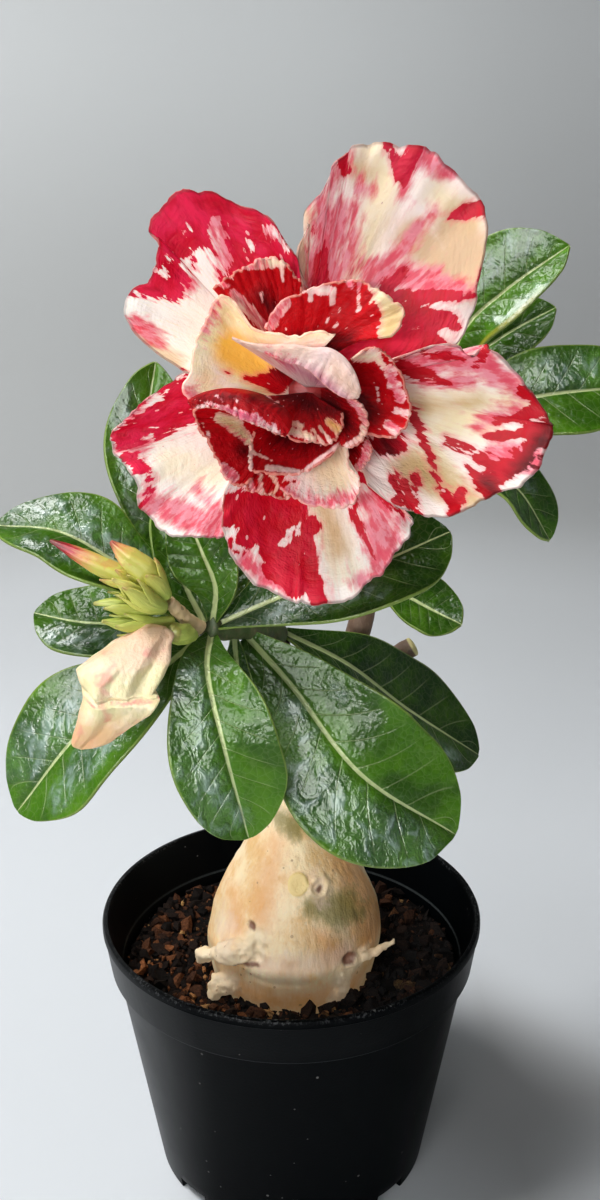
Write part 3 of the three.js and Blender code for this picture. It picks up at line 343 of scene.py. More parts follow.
INNER_PETALS = [
    {"name": "inner_petal_top", "tear": 0.35, "ruffle": 0.4,
     "lines": [
        [(-1.3, 7, -6.6), (1.9, 7.2, -6.6)],
        [(-5, 11.5, 0), (2.5, 14, -1), (9, 12.5, 2)],
        [(-8.4, 15.8, 4), (-7.5, 18.1, 4), (-5.3, 21.2, 4.5), (-1.4, 22.9, 5), (0.8, 24.2, 5),
         (4.7, 24.9, 5), (7.8, 25.6, 5), (12.2, 25.3, 6), (15.3, 23.8, 7), (17.9, 21.6, 8),
         (20.1, 19.9, 9), (20.1, 16.8, 10), (18, 14.4, 11)]],
     "cream": [(-7.4, 16.6, -4.2, 21.2, 2.6, 2.4), (-0.6, 24, 5.2, 23.4, 1.8, 2.2),
         (1, 23.6, 1, 21.6, 1.2, 0.7), (5.2, 23, 5.6, 20.8, 1.4, 1), (9, 25.6, 9.4, 23.6, 1.6, 0.8),
         (11, 25, 11.1, 19.4, 1.1, 0.8), (15, 24.4, 18.6, 19, 4, 5.6), (14.2, 22.6, 13.4, 20.8, 1, 0.5),
         (18.6, 19, 17, 14.6, 5, 4), (7.1, 19.8, 7, 19, 0.5, 0.4), (4.6, 17.9, 4.4, 17.2, 0.6, 0.5),
         (6.6, 16.5, 6.2, 16.2, 0.6, 0.6)],
     "pink": [(-7.4, 16.6, -4.2, 21.2, 3, 3), (8, 25, 12, 24.6, 3, 3)],
     "warm": [(15, 24, 18.4, 16, 7, 8)], "tan": [(18.6, 19, 17, 14.6, 5, 5)],
     "dark": [(-2, 13, 9, 13.4, 3, 3), (2, 12.6, 12, 10.6, 4, 4)]},
    {"name": "inner_petal_back", "tear": 0.4, "dish": 1, "ruffle": 0.4,
     "lines": [
        [(-4, 5.6, -7.4), (-2.8, 7.1, -7.4)],
        [(-19, 24, 3), (-16, 26.4, 3), (-13, 28, 3), (-9.6, 29.8, 2.4), (-7, 30.2, 2), (-4.8, 29.6, 2),
         (-2.4, 27, 1.6), (-1, 25.5, 1), (-1, 20.5, -1)]],
     "cream": [(-13.4, 28.4, -9, 29, 1.6, 2.6), (-9, 29.2, -4.8, 29, 3, 2),
         (-4.9, 28.8, -4.6, 25.6, 1.3, 0.7), (-9.1, 23, -8.8, 21.4, 0.7, 0.6),
         (-14.8, 23, -8.6, 16.2, 2, 2.4), (-17.6, 25, -16, 24.4, 1.4, 1)],
     "pink": [(-13, 28.4, -9.6, 29, 3, 3), (-14.8, 23, -8.6, 16.2, 2.6, 2.6),
         (-18, 24.6, -14, 26.6, 3, 3)],
     "warm": [(-9, 29, -5, 29, 3, 3)], "dark": [(-9, 22, -5, 18, 3, 3)]},
    {"name": "inner_petal_left", "ground": PALE_GROUND, "tear": 0.4, "dish": 2, "lit": 0.24,
     "lines": [
        [(-3.6, 2, -6.6), (-3.7, 4.2, -6.6)],
        [(-19, -0.4, 8), (-24.2, 0.6, 8.5), (-25.6, 3.9, 9), (-23.9, 6.9, 9), (-23.7, 9.8, 9),
         (-22.8, 13.3, 8.5), (-21.6, 15.4, 8), (-20.4, 18, 8), (-19.2, 20.9, 8), (-17.6, 22.4, 8),
         (-15.6, 22, 7.5), (-13.5, 19.4, 7), (-11.4, 16.4, 7), (-8.5, 15.3, 7), (-4.1, 14.6, 7.5),
         (-0.9, 14.5, 8), (2.6, 15.4, 8), (6.2, 14.6, 8)]],
     "red": [(-12.6, 5.6, -6, 4.6, 0.8, 4.5), (-6, 6, 3, 8, 4, 8), (-17, 7, -16, 6.6, 0.3, 0.3)],
     "pink": [(-25, 2, -20, 0, 3, 3), (-21, 15.5, -18.6, 21.6, 2, 2)],
     "warm": [(-19, 20, -10, 8, 18, 14), (-22, 10, -20, 2, 6, 6), (-10, 15, 5, 15, 4, 3)],
     "tan": [(-17, 20, -17, 14, 2, 2)], "glow": [(-15.4, 11.4, -7, 5.4, 7.6, 5.6)],
     "dark": [(-4, 8, 8, 10, 6, 8)]},
    {"name": "inner_petal_folded", "ground": PALE_GROUND, "ruffle": 0.15, "lit": 0.06, "flush": 0.55,
     "lines": [
        [(0, 4.1, -4.8), (2.6, 4.1, -4.8)],
        [(-15.2, 13.9, 9), (-12.3, 12.9, 10.5), (-7.9, 12.3, 12), (-2.6, 12.3, 13), (1.2, 11.6, 13),
         (4.7, 11.5, 13), (7.9, 9.6, 13), (10.2, 6.4, 13), (11.4, 3, 12.5)],
        [(-14.4, 13.3, 9.5), (-10.4, 11.8, 11), (-7.4, 10.4, 12), (-4.4, 9.2, 12.5), (-1, 8.2, 12.5),
         (2.2, 6, 12.5), (4.8, 3.6, 12.5), (8.2, 1.6, 12), (11, 1.6, 12)]],
     "pink": [(-8, 10.6, -3, 8.6, 0.8, 0.8)], "warm": [(-15, 13.8, 0, 11.4, 3, 3), (6, 8, 11.4, 2, 3, 3)],
     "tan": [(-15, 13.6, -4, 10.6, 2, 3), (6, 7, 10, 3, 1.4, 1.4)],
     "mauve": [(-4, 9, 2.6, 5.4, 1, 2.6), (2.6, 5.4, 8, 1.6, 2.6, 1.6)],
     "dark": [(-9, 10.6, -4, 9.2, 0.4, 0.4)]},
    {"name": "inner_petal_curled", "tear": 0.25, "dish": 1, "ruffle": 0.15,
     "lines": [
        [(3.4, 3.6, -5.4), (3.4, 1.4, -5.4)],
        [(9.3, 1.8, 9.5), (11.7, 0.2, 10), (13.1, -2.5, 10), (12.8, -5.4, 10), (11.7, -7.5, 9.5),
         (9.3, -8.7, 9), (7.8, -8.3, 8)]],
     "cream": [(9.4, 1.4, 11.4, 0, 1, 1.6), (11.4, 0, 12.6, -3, 1.8, 1.4), (12.6, -3, 12, -6.4, 1.2, 1.4),
         (12, -6.4, 8.4, -8.6, 1.4, 1)],
     "pink": [(9.4, 1.4, 12.6, -3, 2, 2)], "warm": [(12, -2, 12.4, -6, 2, 2)],
     "dark": [(5, 1, 9, -4, 5, 4)]},
    {"name": "inner_petal_bowl", "tear": 0.15, "dish": 2, "ruffle": 0.2,
     "lines": [
        [(2.2, -0.4, -6), (-0.8, -0.5, -6)],
        [(7.4, -7.8, 7), (5, -10.7, 8), (1.7, -12.9, 8.5), (-0.9, -14.1, 9), (-5, -14.4, 9),
         (-8.5, -14.1, 8.5), (-11.4, -13.6, 8), (-12, -11, 7.5), (-11.7, -8, 7), (-11, -5.5, 6.5)]],
     "cream": [(-11.8, -9.4, -7, -11.6, 0.9, 0.4), (-8, -13, -1.4, -13.8, 1.5, 0.9),
         (-11.7, -6.4, -12, -13.4, 0.9, 1.4), (0, -13.4, 7, -8.2, 0.8, 0.8)],
     "warm": [(-11.6, -8, -6, -11, 2, 2)], "dark": [(-5, -6.6, 3, -7.4, 5, 4)]},
    {"name": "inner_petal_right", "tear": 0.4, "dish": 1.5,
     "lines": [
        [(4.9, 4.4, -6.6), (4.9, 1.6, -6.6)],
        [(9.5, 9.5, 7), (13.5, 12, 7), (17, 10.5, 7), (20, 6.5, 6), (22, 0.5, 5), (21.5, -3.5, 5),
         (19, -6.5, 6), (13, -6, 6)]],
     "cream": [(10.4, 10.2, 14.6, 10.6, 2, 2.6), (14.6, 10.6, 16.6, 7.6, 2, 1),
         (18, 7.4, 18, 4, 2.6, 1.4), (19, 5, 20, 1.6, 1.6, 2.4), (19.2, -1, 21.8, -2, 1.4, 1.6),
         (17.4, -4, 21, -7, 2, 2.6), (15, 4, 15.4, 1, 0.5, 0.4)],
     "pink": [(17.6, 6.6, 19, 2, 3, 3), (18, -4, 21, -6, 2.6, 2.6)],
     "warm": [(10.4, 10.4, 15.5, 9.4, 3, 3)], "dark": [(9, 5, 13, -2, 4, 4), (8, 9, 9, 6, 3, 3)]},
    {"name": "inner_petal_bottom", "ground": PALE_GROUND, "tear": 0.4, "lit": 0.14, "flush": 0.15,
     "lines": [
        [(3.6, -1.1, -7.2), (0.8, -2, -7.2)],
        [(9, -9, 5), (9.2, -13, 6), (11, -14.6, 6), (11.4, -17.4, 6), (10.4, -20.2, 6.5), (7, -21.5, 7),
         (2, -21.2, 7), (-2.2, -19.4, 6.5), (-5.4, -17.2, 6)]],
     "red": [(0, -5, 6, -6.4, 5, 4), (-5, -16.6, -2.6, -15.8, 0.8, 0.8)],
     "pink": [(-5, -17.6, 2, -20.8, 2.6, 2.6), (2, -21, 11, -19, 2.6, 2.4)],
     "warm": [(4, -10, 6, -15, 9, 8)], "tan": [(6, -8.6, 7.4, -10, 1.6, 1.6)]},
    {"name": "inner_petal_rolled", "tear": 0.4, "ruffle": 0.15,
     "lines": [
        [(-3.5, 0.9, -6.6), (-2.8, -0.3, -6.6)],
        [(-24.4, 0.9, 10.5), (-22.2, 2, 11), (-18.4, 2.9, 12), (-15.8, 2.7, 12.5), (-13.5, 2, 13),
         (-10.2, 0, 13), (-7.3, -1.2, 12), (-5, -3, 11), (-3.4, -5, 10)],
        [(-23.6, -0.2, 10.5), (-22, -0.5, 11), (-20.2, -0.3, 12), (-17.3, -0.9, 12.5), (-14.3, -2.4, 13),
         (-11.4, -3.6, 13), (-8.5, -4.7, 12), (-6, -6, 11), (-4.2, -6.5, 10)]],
     "cream": [(-17.4, -0.4, -13, -1.9, 1.3, 2), (-13, -1.9, -10, -3, 2, 2.4),
         (-9.4, -3.4, -7, -4.6, 1.4, 1.6), (-20.6, 0.6, -18.6, 0.2, 0.7, 0.9),
         (-22.4, -0.2, -20.4, 0, 0.8, 0.8), (-18.4, 2, -17, 1, 0.3, 0.3), (-6.8, -3.6, -5.8, -5.4, 1, 1),
         (-14.6, 1.2, -14, 0.8, 0.4, 0.3), (-19.6, 0.6, -18.6, 0.2, 0.5, 0.7)],
     "pink": [(-20, 1.6, -12, -0.4, 1.4, 1.4), (-17.4, -0.4, -10, -2.6, 2.2, 2.2)],
     "mauve": [(-13, 0, -6, -3.4, 1.2, 1.6), (-16, -1, -12, -2.2, 1, 1)],
     "dark": [(-22, 1.4, -14, 2, 1.4, 1.4), (-11, 1.4, -5, 0.4, 3, 3)]},
    {"name": "inner_petal_lower_left", "tear": 0.35, "dish": 1,
     "lines": [
        [(-2.6, -1.8, -7.6), (-3.8, -0.4, -7.6)],
        [(-11.6, -15.4, 4), (-13.6, -16.8, 4), (-16.4, -15.6, 4), (-18.7, -11.8, 4.5), (-20.2, -8, 5),
         (-22.2, -5.1, 5), (-23.1, -2.8, 5.5), (-23.4, -0.7, 6), (-22.6, 0.8, 6)]],
     "cream": [(-18, -2.4, -15, -4, 2.6, 3.6), (-15, -4, -12, -7.4, 3.4, 2),
         (-18, -12.8, -15.6, -14.8, 2.4, 3), (-20.6, -5.5, -20.4, -6.1, 0.9, 0.9),
         (-21.6, -3.6, -21.4, -4.4, 0.5, 0.5)],
     "pink": [(-18, -12.8, -15.6, -14.8, 3.4, 3.6), (-17, -5.6, -14, -7.6, 1.6, 1.4)],
     "warm": [(-18, -2.4, -12, -7, 6, 5)], "tan": [(-16.6, -3.4, -13, -6.4, 2.6, 2.4)],
     "dark": [(-13, -9, -10, -12, 3, 3)]},
    {"name": "inner_petal_ruffle", "tear": 0.25, "ruffle": 0.8,
     "lines": [
        [(0, -2.1, -7.6), (-1.4, -1.9, -7.6)],
        [(-3, -19.4, 2), (-5, -19.6, 2.4), (-7.4, -18.8, 2.6), (-10, -18.4, 2.4), (-12.4, -17.6, 2),
         (-13, -16, 1)]],
     "cream": [(-11.8, -14.6, -11, -18.4, 1, 1.4), (-9.6, -14.4, -9.2, -18.6, 1, 1.4),
         (-7, -14.6, -5.8, -16.8, 1.2, 0.8), (-5.8, -16.8, -7.4, -19, 0.9, 1),
         (-4.8, -17.4, -3.6, -19.6, 0.8, 1)],
     "pink": [(-11, -15, -11, -18, 2, 2)], "warm": [(-8, -15, -6.6, -18.6, 5, 5)]},
    {"name": "inner_petal_small", "ruffle": 0.2,
     "lines": [
        [(5.6, 0.4, -8), (4.8, -1, -8)],
        [(13, -7, 2.5), (14, -9.5, 2.5), (12.6, -12.5, 2), (10, -14.4, 1.5)]],
     "cream": [(13.2, -7.6, 12.6, -11, 1.4, 2), (12.6, -11, 10.8, -13.6, 2, 1.6)],
     "pink": [(13.2, -7.6, 11.4, -13, 2.6, 2.6)], "dark": [(8, -6, 9.6, -9, 3, 3)]},
    {"name": "inner_petal_heart", "ruffle": 0.35,
     "lines": [
        [(0, 2.6, -4.8), (1.6, 2.4, -4.8)],
        [(-9.4, 1.8, 6), (-7.4, -0.6, 6.5), (-5.4, -3, 7), (-4, -6.2, 7), (-0.8, -7.6, 7.5),
         (1.7, -7.5, 7.5), (4.8, -8.1, 7.5), (6.8, -6.8, 7), (7.8, -4.6, 6.5), (7.8, -1.6, 6)]],
     "cream": [(-5, -2.8, -1, -4.4, 1, 1.6), (-3.4, -5.2, 1.4, -6.8, 1.8, 1.8),
         (1.6, -5.2, 3.4, -7.6, 0.8, 0.8), (3, -4.6, 5.4, -7.6, 0.7, 0.9), (5, -3.4, 7.4, -5.4, 1.8, 2.4),
         (-6.2, 0.4, -5.2, -2, 0.7, 0.5), (-8.4, 1.4, -6.4, -0.2, 1.4, 1)],
     "warm": [(-5, -3, 2, -6.4, 3, 4), (4, -3, 7.6, -5, 4, 4)], "glow": [(5.4, -3.8, 7, -4.8, 2.4, 2)],
     "dark": [(-5, 3, 2, 0, 5, 5), (2, 0, 6, -1, 4, 4)]},
]

THROAT_CENTRE = (0.5, 3)
THROAT_PROFILE = [
    (0.3, -13), (5.4, -12), (7, -10.4), (6.8, -9.9), (4.8, -9.7), (4.1, -7.6), (2.7, -6),
    (0.3, -5.6),
]
TUBE_ROUTE = [(31.6, 1, 216.4), (24, -12, 218), (14, -24, 220)]
TUBE_RADII = [1.8, 2.3, 3, 4, 6]
# The tube's route ends at these distances behind the throat.
TUBE_BACKS = (16, 11.5)

# Ripe runs from green to red; reach is how far up its sepals come and open how far they stand
# off. The two calyxes are buds without sepals.
BUDS = [
    {"name": "bud_1", "ripe": 0.98, "reach": 0.56, "open": 0.5,
     "radii": [0.9, 1.5, 2.2, 2.1, 1.4, 0.4],
     "points": [(-28.4, -43, 181), (-35, -45.5, 184.6), (-42, -46.5, 188.6), (-51, -47, 193.5)]},
    {"name": "bud_2", "ripe": 0.78, "reach": 0.58, "open": 0.5, "radii": [1.2, 2.1, 2.8, 2.3, 0.5],
     "points": [(-27, -45.6, 180.6), (-30.3, -48.5, 186.5), (-34, -49.5, 190.3),
                (-37.5, -50, 194)]},
    {"name": "bud_3", "ripe": 0.5, "reach": 0.95, "open": 1.1, "radii": [1.2, 1.7, 1.8, 1.3, 0.4],
     "points": [(-27.6, -46.8, 178.4), (-31, -51, 181.5), (-34, -53, 185), (-37, -54, 187)]},
    {"name": "bud_4", "ripe": 0.25, "reach": 0.95, "open": 1.2, "radii": [1, 1.3, 1.4, 0.4],
     "points": [(-28, -43.9, 177.4), (-34.5, -47, 178.6), (-38.5, -48.5, 180), (-42, -49, 180)]},
    {"name": "bud_5", "ripe": 0.15, "reach": 0.95, "open": 0.9, "radii": [0.9, 1.1, 1.5, 1.3, 0.4],
     "points": [(-25.9, -43.7, 174.2), (-30, -46.5, 174.4), (-36, -49.5, 175.6),
                (-40, -51.5, 176.8)]},
    {"name": "flower_calyx", "ripe": 0.0, "radii": [1.4, 2.4, 2.2, 1.2],
     "points": [(33.1, 4.3, 213), (32.7, 3.4, 214.1), (32.1, 2, 215.4)]},
    {"name": "wilted_calyx", "ripe": 0.1, "radii": [1.4, 2.2, 2.4, 2],
     "points": [(-21.5, -42.8, 170.6), (-23.4, -45.6, 172), (-25.4, -49, 173.2)]},
]
SEPALS = 5
SEPAL_ROWS = 15
SEPAL_COLUMNS = 9
SEPAL_THICKNESS = 0.3

# The wilted flower hangs folded: each row of it runs from a left to a right edge.
WILTED_ROWS = [
    ((-29, -50.6, 176.4), (-24.4, -50.2, 174.4)), ((-35.4, -53, 173.4), (-25.4, -52, 172)),
    ((-41, -56, 170.8), (-25.4, -55, 169.4)), ((-45, -58, 168.2), (-26.4, -57, 167)),
    ((-43.8, -60, 165.4), (-28.2, -59, 164.4)), ((-43.6, -61, 163.2), (-27, -62.4, 162.6)),
    ((-44, -61.2, 161), (-28.8, -62, 160.6)), ((-44.6, -61.2, 158.4), (-33, -61.4, 157.8)),
    ((-46, -60.8, 154.4), (-37.6, -60.6, 153.6)), ((-47, -60, 151), (-42.5, -60, 150.3)),
]
WILTED_DEPTHS = [2, 4, 5.6, 6.2, 5.2, 4.6, 4.6, 4, 3, 1.4]
WILTED_FRONT = (0.1, -0.95, -0.3)

# The softboxes: name, place, aim, size, power as a share of the key's and whether they light
# matt surfaces.
LAMPS = [
    ("key", (-430, -110, 1060), (0, 0, 150), 400, 1, True),
    ("fill", (-440, -1090, 120), (0, 0, 210), 560, 2.8, True),
    ("window", (-330, -850, 640), (0, 0, 150), 800, 1.7, False),
    ("backdrop_light", (-800, 500, 900), (-500, 1500, 600), 500, 0.7, True),
]
# The floor and its wall, in metres.
FLOOR_RADIUS = 0.45
WALL_RADIUS = 1.5
WALL_HEIGHT = 1.25


# ---- Settings ------------------------------------------------------------------------------

def shade(name, description, *steps):
    """A colour setting, its default given as 0 to 255 steps."""
    return bpy.props.FloatVectorProperty(name=name, description=description, size=4, min=0, max=1,
                                         default=colour(*steps), subtype="COLOR")


def number(name, description, default):
    """A setting that isn't negative: a length in millimetres, or what its description says."""
    return bpy.props.FloatProperty(name=name, description=description, default=default, min=0)


class PotSettings(bpy.types.PropertyGroup):
    """The nursery pot and its soil."""

    bevel: number("Edge Bevel", "Rounding of the pot's moulded edges, mm", 0.3)
    plastic: shade("Plastic", "Colour of the pot", 2, 3, 4)
    dust: shade("Dust", "Colour of the dust specks on the pot", 120, 118, 116)
    soil: shade("Soil", "Colour of the fine soil between the crumbs", 18, 12, 9)
    crumbs: bpy.props.IntProperty(name="Crumbs", description="Number of loose soil crumbs",
                                  default=3000, min=0, max=4000)
    crumb_size: number("Crumb Size", "Radius of a common soil crumb, mm", 0.66)


class WoodSettings(bpy.types.PropertyGroup):
    """The caudex and the stems."""

    voxel: number("Voxel", "Cell of the mesh that joins the caudex and its roots, mm", 0.5)
    bark: shade("Bark", "Pale skin of the caudex", 254, 228, 184)
    tan: shade("Tan", "Tan skin of the caudex", 238, 194, 132)
    stem: shade("Stem", "Brown bark of the stems", 104, 78, 60)
    green: shade("Green Bark", "Young bark", 62, 82, 34)


class LeafSettings(bpy.types.PropertyGroup):
    """The leaves."""

    thickness: number("Thickness", "Thickness of a leaf blade, mm", 0.7)
    # A leaf's tone mixes these two greens; on leaves that lie in shade the dark end is painted shade.
    dark: shade("Dark Green", "Upper side of an old leaf", 12, 46, 4)
    bright: shade("Bright Green", "Upper side of a young leaf", 80, 134, 12)
    vein: shade("Vein", "Midrib and veins", 196, 208, 150)
    under: shade("Underside", "Lower side of a leaf", 128, 148, 74)


class FlowerSettings(bpy.types.PropertyGroup):
    """The open flower and the buds."""

    thickness: number("Thickness", "Thickness of a petal, mm", 0.55)
    frill: number("Frill", "Height of the fine frill along a petal's rim, mm", 0.35)
    blush: shade("Blush", "Palest petal tissue", 255, 238, 230)
    cream: shade("Cream", "Cream petal tissue", 246, 230, 186)
    pink: shade("Pink", "Soft pink on the petals", 232, 128, 146)
    crimson: shade("Crimson", "Red of the petals' patches", 190, 0, 14)
    # Painted shade: dark strokes lay this red where the petals lie in shadow.
    shadow_red: shade("Deep Red", "Darkest red near the throat", 84, 0, 6)
    bud_green: shade("Bud Green", "Green of the buds and calyxes", 184, 200, 92)


class StageSettings(bpy.types.PropertyGroup):
    """The floor, the lights and the camera."""

    floor: shade("Floor", "Colour of the pale floor", 222, 226, 230)
    wall: shade("Wall", "Colour of the backdrop above the floor", 174, 176, 176)
    key: number("Key Light", "Power of the main softbox, W", 11)
    lens: number("Lens", "Focal length of the camera, mm", 36)


def pointer(kind, name):
    """A group of settings inside the plant's settings."""
    return bpy.props.PointerProperty(type=kind, name=name, description=f"{name} of the plant")


class RoseSettings(bpy.types.PropertyGroup):
    """All settings of the plant."""

    pot: pointer(PotSettings, "Pot and soil")
    wood: pointer(WoodSettings, "Caudex and stems")
    leaf: pointer(LeafSettings, "Leaves")
    flower: pointer(FlowerSettings, "Flower and buds")
    stage: pointer(StageSettings, "Floor, lights and camera")


# ---- Mesh helpers --------------------------------------------------------------------------

def deselect():
    """Nothing is selected afterwards."""
    bpy.ops.object.select_all(action="DESELECT")


def pick(piece):
    """Only this piece is selected and active afterwards."""
    deselect()
    piece.select_set(True)
    bpy.context.view_layer.objects.active = piece


def added(name):
    """The piece that was just added, under this name."""
    piece = bpy.context.object
    piece.name = name
    return piece


def rows_of(piece, kind):
    """The places ("co") or normals ("normal") of a piece's vertices, one row each."""
    flat = np.empty(3 * len(piece.data.vertices))
    piece.data.vertices.foreach_get(kind, flat)
    return flat.reshape(-1, 3)


def vertices(piece):
    """The vertices of a piece in millimetres, one row each."""
    return rows_of(piece, "co") / MM


def set_vertices(piece, places):
    """Puts the vertices of a piece at places in millimetres."""
    piece.data.vertices.foreach_set("co", (np.asarray(places) * MM).ravel())
    piece.data.update()


def set_values(piece, **tables):
    """Stores a number for each vertex, or one for all of them, which a material reads by name."""
    for name, values in tables.items():
        full = np.broadcast_to(np.asarray(values, dtype=np.float32), len(piece.data.vertices))
        attribute = piece.data.attributes.new(name, "FLOAT", "POINT")
        attribute.data.foreach_set("value", np.ascontiguousarray(full))


def modify(piece, kind, **values):
    """Adds a modifier with these values and applies it."""
    pick(piece)
    modifier = piece.modifiers.new(kind.title(), kind)
    for name, value in values.items():
        setattr(modifier, name, value)
    bpy.ops.object.modifier_apply(modifier=modifier.name)


def face_outwards(piece):
    """Turns every face of a piece outwards."""
    pick(piece)
    bpy.ops.object.mode_set(mode="EDIT")
    bpy.ops.mesh.select_all(action="SELECT")
    bpy.ops.mesh.normals_make_consistent(inside=False)
    bpy.ops.object.mode_set(mode="OBJECT")


def smoothstep(low, high, value):
    """Eases from 0 at low to 1 at high."""
    share = np.clip((value - low) / (high - low), 0, 1)
    return share * share * (3 - 2 * share)


def grain(places, size, seed=0):
    """Smooth noise from -1 to 1 at each place, with features of this size."""
    shift = Vector((seed * 7.3, seed * 3.1, seed * 5.7))
    flat = np.asarray(places, float).reshape(-1, 3) / size
    values = [noise.noise(Vector(place) + shift) for place in flat]
    return np.array(values).reshape(np.asarray(places).shape[:-1])


def unit(vectors):
    """The vectors at length 1."""
    return vectors / np.maximum(np.linalg.norm(vectors, axis=-1, keepdims=True), 1e-9)


def spread_over(shares, rows):
    """Reads evenly spaced rows at these shares of their run."""
    knots = np.linspace(0, 1, len(rows))
    return np.stack([np.interp(shares, knots, column) for column in np.transpose(rows)], -1)


def spline(points, shares):
    """Places on a smooth line through the points, at shares of its knots."""
    points = np.asarray(points, float)
    if len(points) == 2:
        return points[0] + (points[1] - points[0]) * np.asarray(shares, float)[:, None]
    padded = np.vstack([2 * points[0] - points[1], points, 2 * points[-1] - points[-2]])
    place = np.clip(shares, 0, 1) * (len(points) - 1)
    index = np.minimum(place.astype(int), len(points) - 2)
    part = (place - index)[:, None]
    p0, p1, p2, p3 = (padded[index + step] for step in range(4))
    d0, d1, d2 = (np.sqrt(np.maximum(np.linalg.norm(end - start, axis=1), 1e-6))[:, None]
                  for start, end in ((p0, p1), (p1, p2), (p2, p3)))
    leave = ((p1 - p0) / d0 - (p2 - p0) / (d0 + d1) + (p2 - p1) / d1) * d1
    arrive = ((p2 - p1) / d1 - (p3 - p1) / (d1 + d2) + (p3 - p2) / d2) * d1
    bend = -3 * p1 + 3 * p2 - 2 * leave - arrive
    twist = 2 * p1 - 2 * p2 + leave + arrive
    return p1 + leave * part + bend * part ** 2 + twist * part ** 3


def even_spline(points, shares):
    """Places on a smooth line through the points, at shares of its length."""
    fine = np.linspace(0, 1, 400)
    dense = spline(points, fine)
    run = np.append(0, np.cumsum(np.linalg.norm(np.diff(dense, axis=0), axis=1)))
    return spline(points, np.interp(shares, run / run[-1], fine))


def path_frames(centres):
    """Tangents, normals and binormals along a row of centres, without twist."""
    tangents = unit(np.gradient(centres, axis=0))
    side = np.array((0, 0, 1.0)) if abs(tangents[0][2]) < 0.8 else np.array((0, -1.0, 0))
    rows = []
    for tangent in tangents:
        side = unit(side - (side @ tangent) * tangent)
        rows.append(side)
    across = np.array(rows)
    return tangents, across, np.cross(tangents, across)


def sheet_piece(name, points, thickness, values):
    """A closed sheet over rows of points: a grid is laid on them and thickened."""
    rows, columns = points.shape[:2]
    deselect()
    bpy.ops.mesh.primitive_grid_add(x_subdivisions=columns - 1, y_subdivisions=rows - 1, size=1)
    piece = added(name)
    flat = rows_of(piece, "co") + 0.5
    column = np.rint(flat[:, 0] * (columns - 1)).astype(int)
    row = np.rint(flat[:, 1] * (rows - 1)).astype(int)
    set_vertices(piece, points[row, column])
    full = np.ones((rows, columns))
    set_values(piece, **{label: (table * full)[row, column] for label, table in values.items()})
    front = len(piece.data.vertices)
    modify(piece, "SOLIDIFY", thickness=thickness * MM, offset=0)
    set_values(piece, back=np.arange(len(piece.data.vertices)) >= front)
    return piece


def ball_piece(name, around, rings):
    """A ball to be reshaped, with the share of the way down and the turn of each vertex."""
    deselect()
    bpy.ops.mesh.primitive_uv_sphere_add(segments=around, ring_count=rings, radius=1)
    piece = added(name)
    ball = rows_of(piece, "co")
    return (piece, np.arccos(np.clip(ball[:, 2], -1, 1)) / math.pi,
            np.arctan2(ball[:, 1], ball[:, 0]))


def limb_piece(name, points, radii, around, along, round_ends=(0.3, 0.3), relief=None):
    """A round limb along a line: a sphere's rings are laid along it, with rounded ends."""
    piece, down, turn = ball_piece(name, around, along)
    ring = along - np.rint(down * along).astype(int)
    steps = np.arange(along + 1)
    shares = np.clip((steps - CAP_RINGS) / (along - 2 * CAP_RINGS), 0, 1)
    tangents, sides, uppers = path_frames(even_spline(points, np.linspace(0, 1, along + 1)))
    level = np.rint(shares * along).astype(int)
    radius = np.interp(shares, np.linspace(0, 1, len(radii)), radii)
    start_lift = np.clip(1 - steps / CAP_RINGS, 0, 1) * math.pi / 2
    end_lift = np.clip(1 - (along - steps) / CAP_RINGS, 0, 1) * math.pi / 2
    push = radius * (round_ends[1] * np.sin(end_lift) - round_ends[0] * np.sin(start_lift))
    radius = radius * np.cos(start_lift) * np.cos(end_lift)
    centres = even_spline(points, shares) + tangents[level] * push[:, None]
    reach = radius[ring]
    if relief is not None:
        reach = reach * (1 + relief(shares[ring], turn))
    set_vertices(piece, centres[ring] + sides[level][ring] * (reach * np.cos(turn))[:, None]
                 + uppers[level][ring] * (reach * np.sin(turn))[:, None])
    set_values(piece, along=shares[ring], turn=turn)
    return piece


def widen(grow):
    """Scales what is selected in edit mode away from the upright axis."""
    if grow != 1:
        bpy.ops.transform.resize(value=(grow, grow, 1), center_override=(0, 0, 0))


def turned_piece(name, profile, sides):
    """A body turned about the upright axis, from (radius, height) pairs: a disc is extruded
    and scaled from ring to ring."""
    deselect()
    radius, height = profile[0]
    bpy.ops.mesh.primitive_circle_add(vertices=sides, radius=radius * MM, fill_type="NGON",
                                      location=(0, 0, height * MM))
    piece = added(name)
    bpy.ops.object.transform_apply(location=True, rotation=True, scale=True)
    bpy.ops.object.mode_set(mode="EDIT")
    bpy.ops.mesh.select_all(action="SELECT")
    for (radius, height), (wider, higher) in zip(profile, profile[1:]):
        rise = (0, 0, (higher - height) * MM)
        bpy.ops.mesh.extrude_region_move(TRANSFORM_OT_translate={"value": rise})
        widen(wider / radius)
    bpy.ops.object.mode_set(mode="OBJECT")
    face_outwards(piece)
    return piece


def cut(piece):
    """Cuts the piece that was just added out of this one, and removes it."""
    cutter = bpy.context.object
    modify(piece, "BOOLEAN", operation="DIFFERENCE", solver="EXACT", object=cutter)
    bpy.data.objects.remove(cutter)


def join(pieces):
    """Joins pieces into the first one, which keeps its name."""
    pick(pieces[0])
    for other in pieces[1:]:
        other.select_set(True)
    bpy.ops.object.join()
    return pieces[0]


def finish_piece(piece, material, slot, *nodes, crease=None):
    """Shades a piece, gives it its material and ties it to the frame."""
    pick(piece)
    if crease is None:
        bpy.ops.object.shade_smooth()
    else:
        bpy.ops.object.shade_smooth_by_angle(angle=math.radians(crease))
    piece.data.materials.clear()
    piece.data.materials.append(material)
    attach(piece, "root")
    if nodes:
        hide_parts(*nodes)


# ---- Shader helpers ------------------------------------------------------------------------

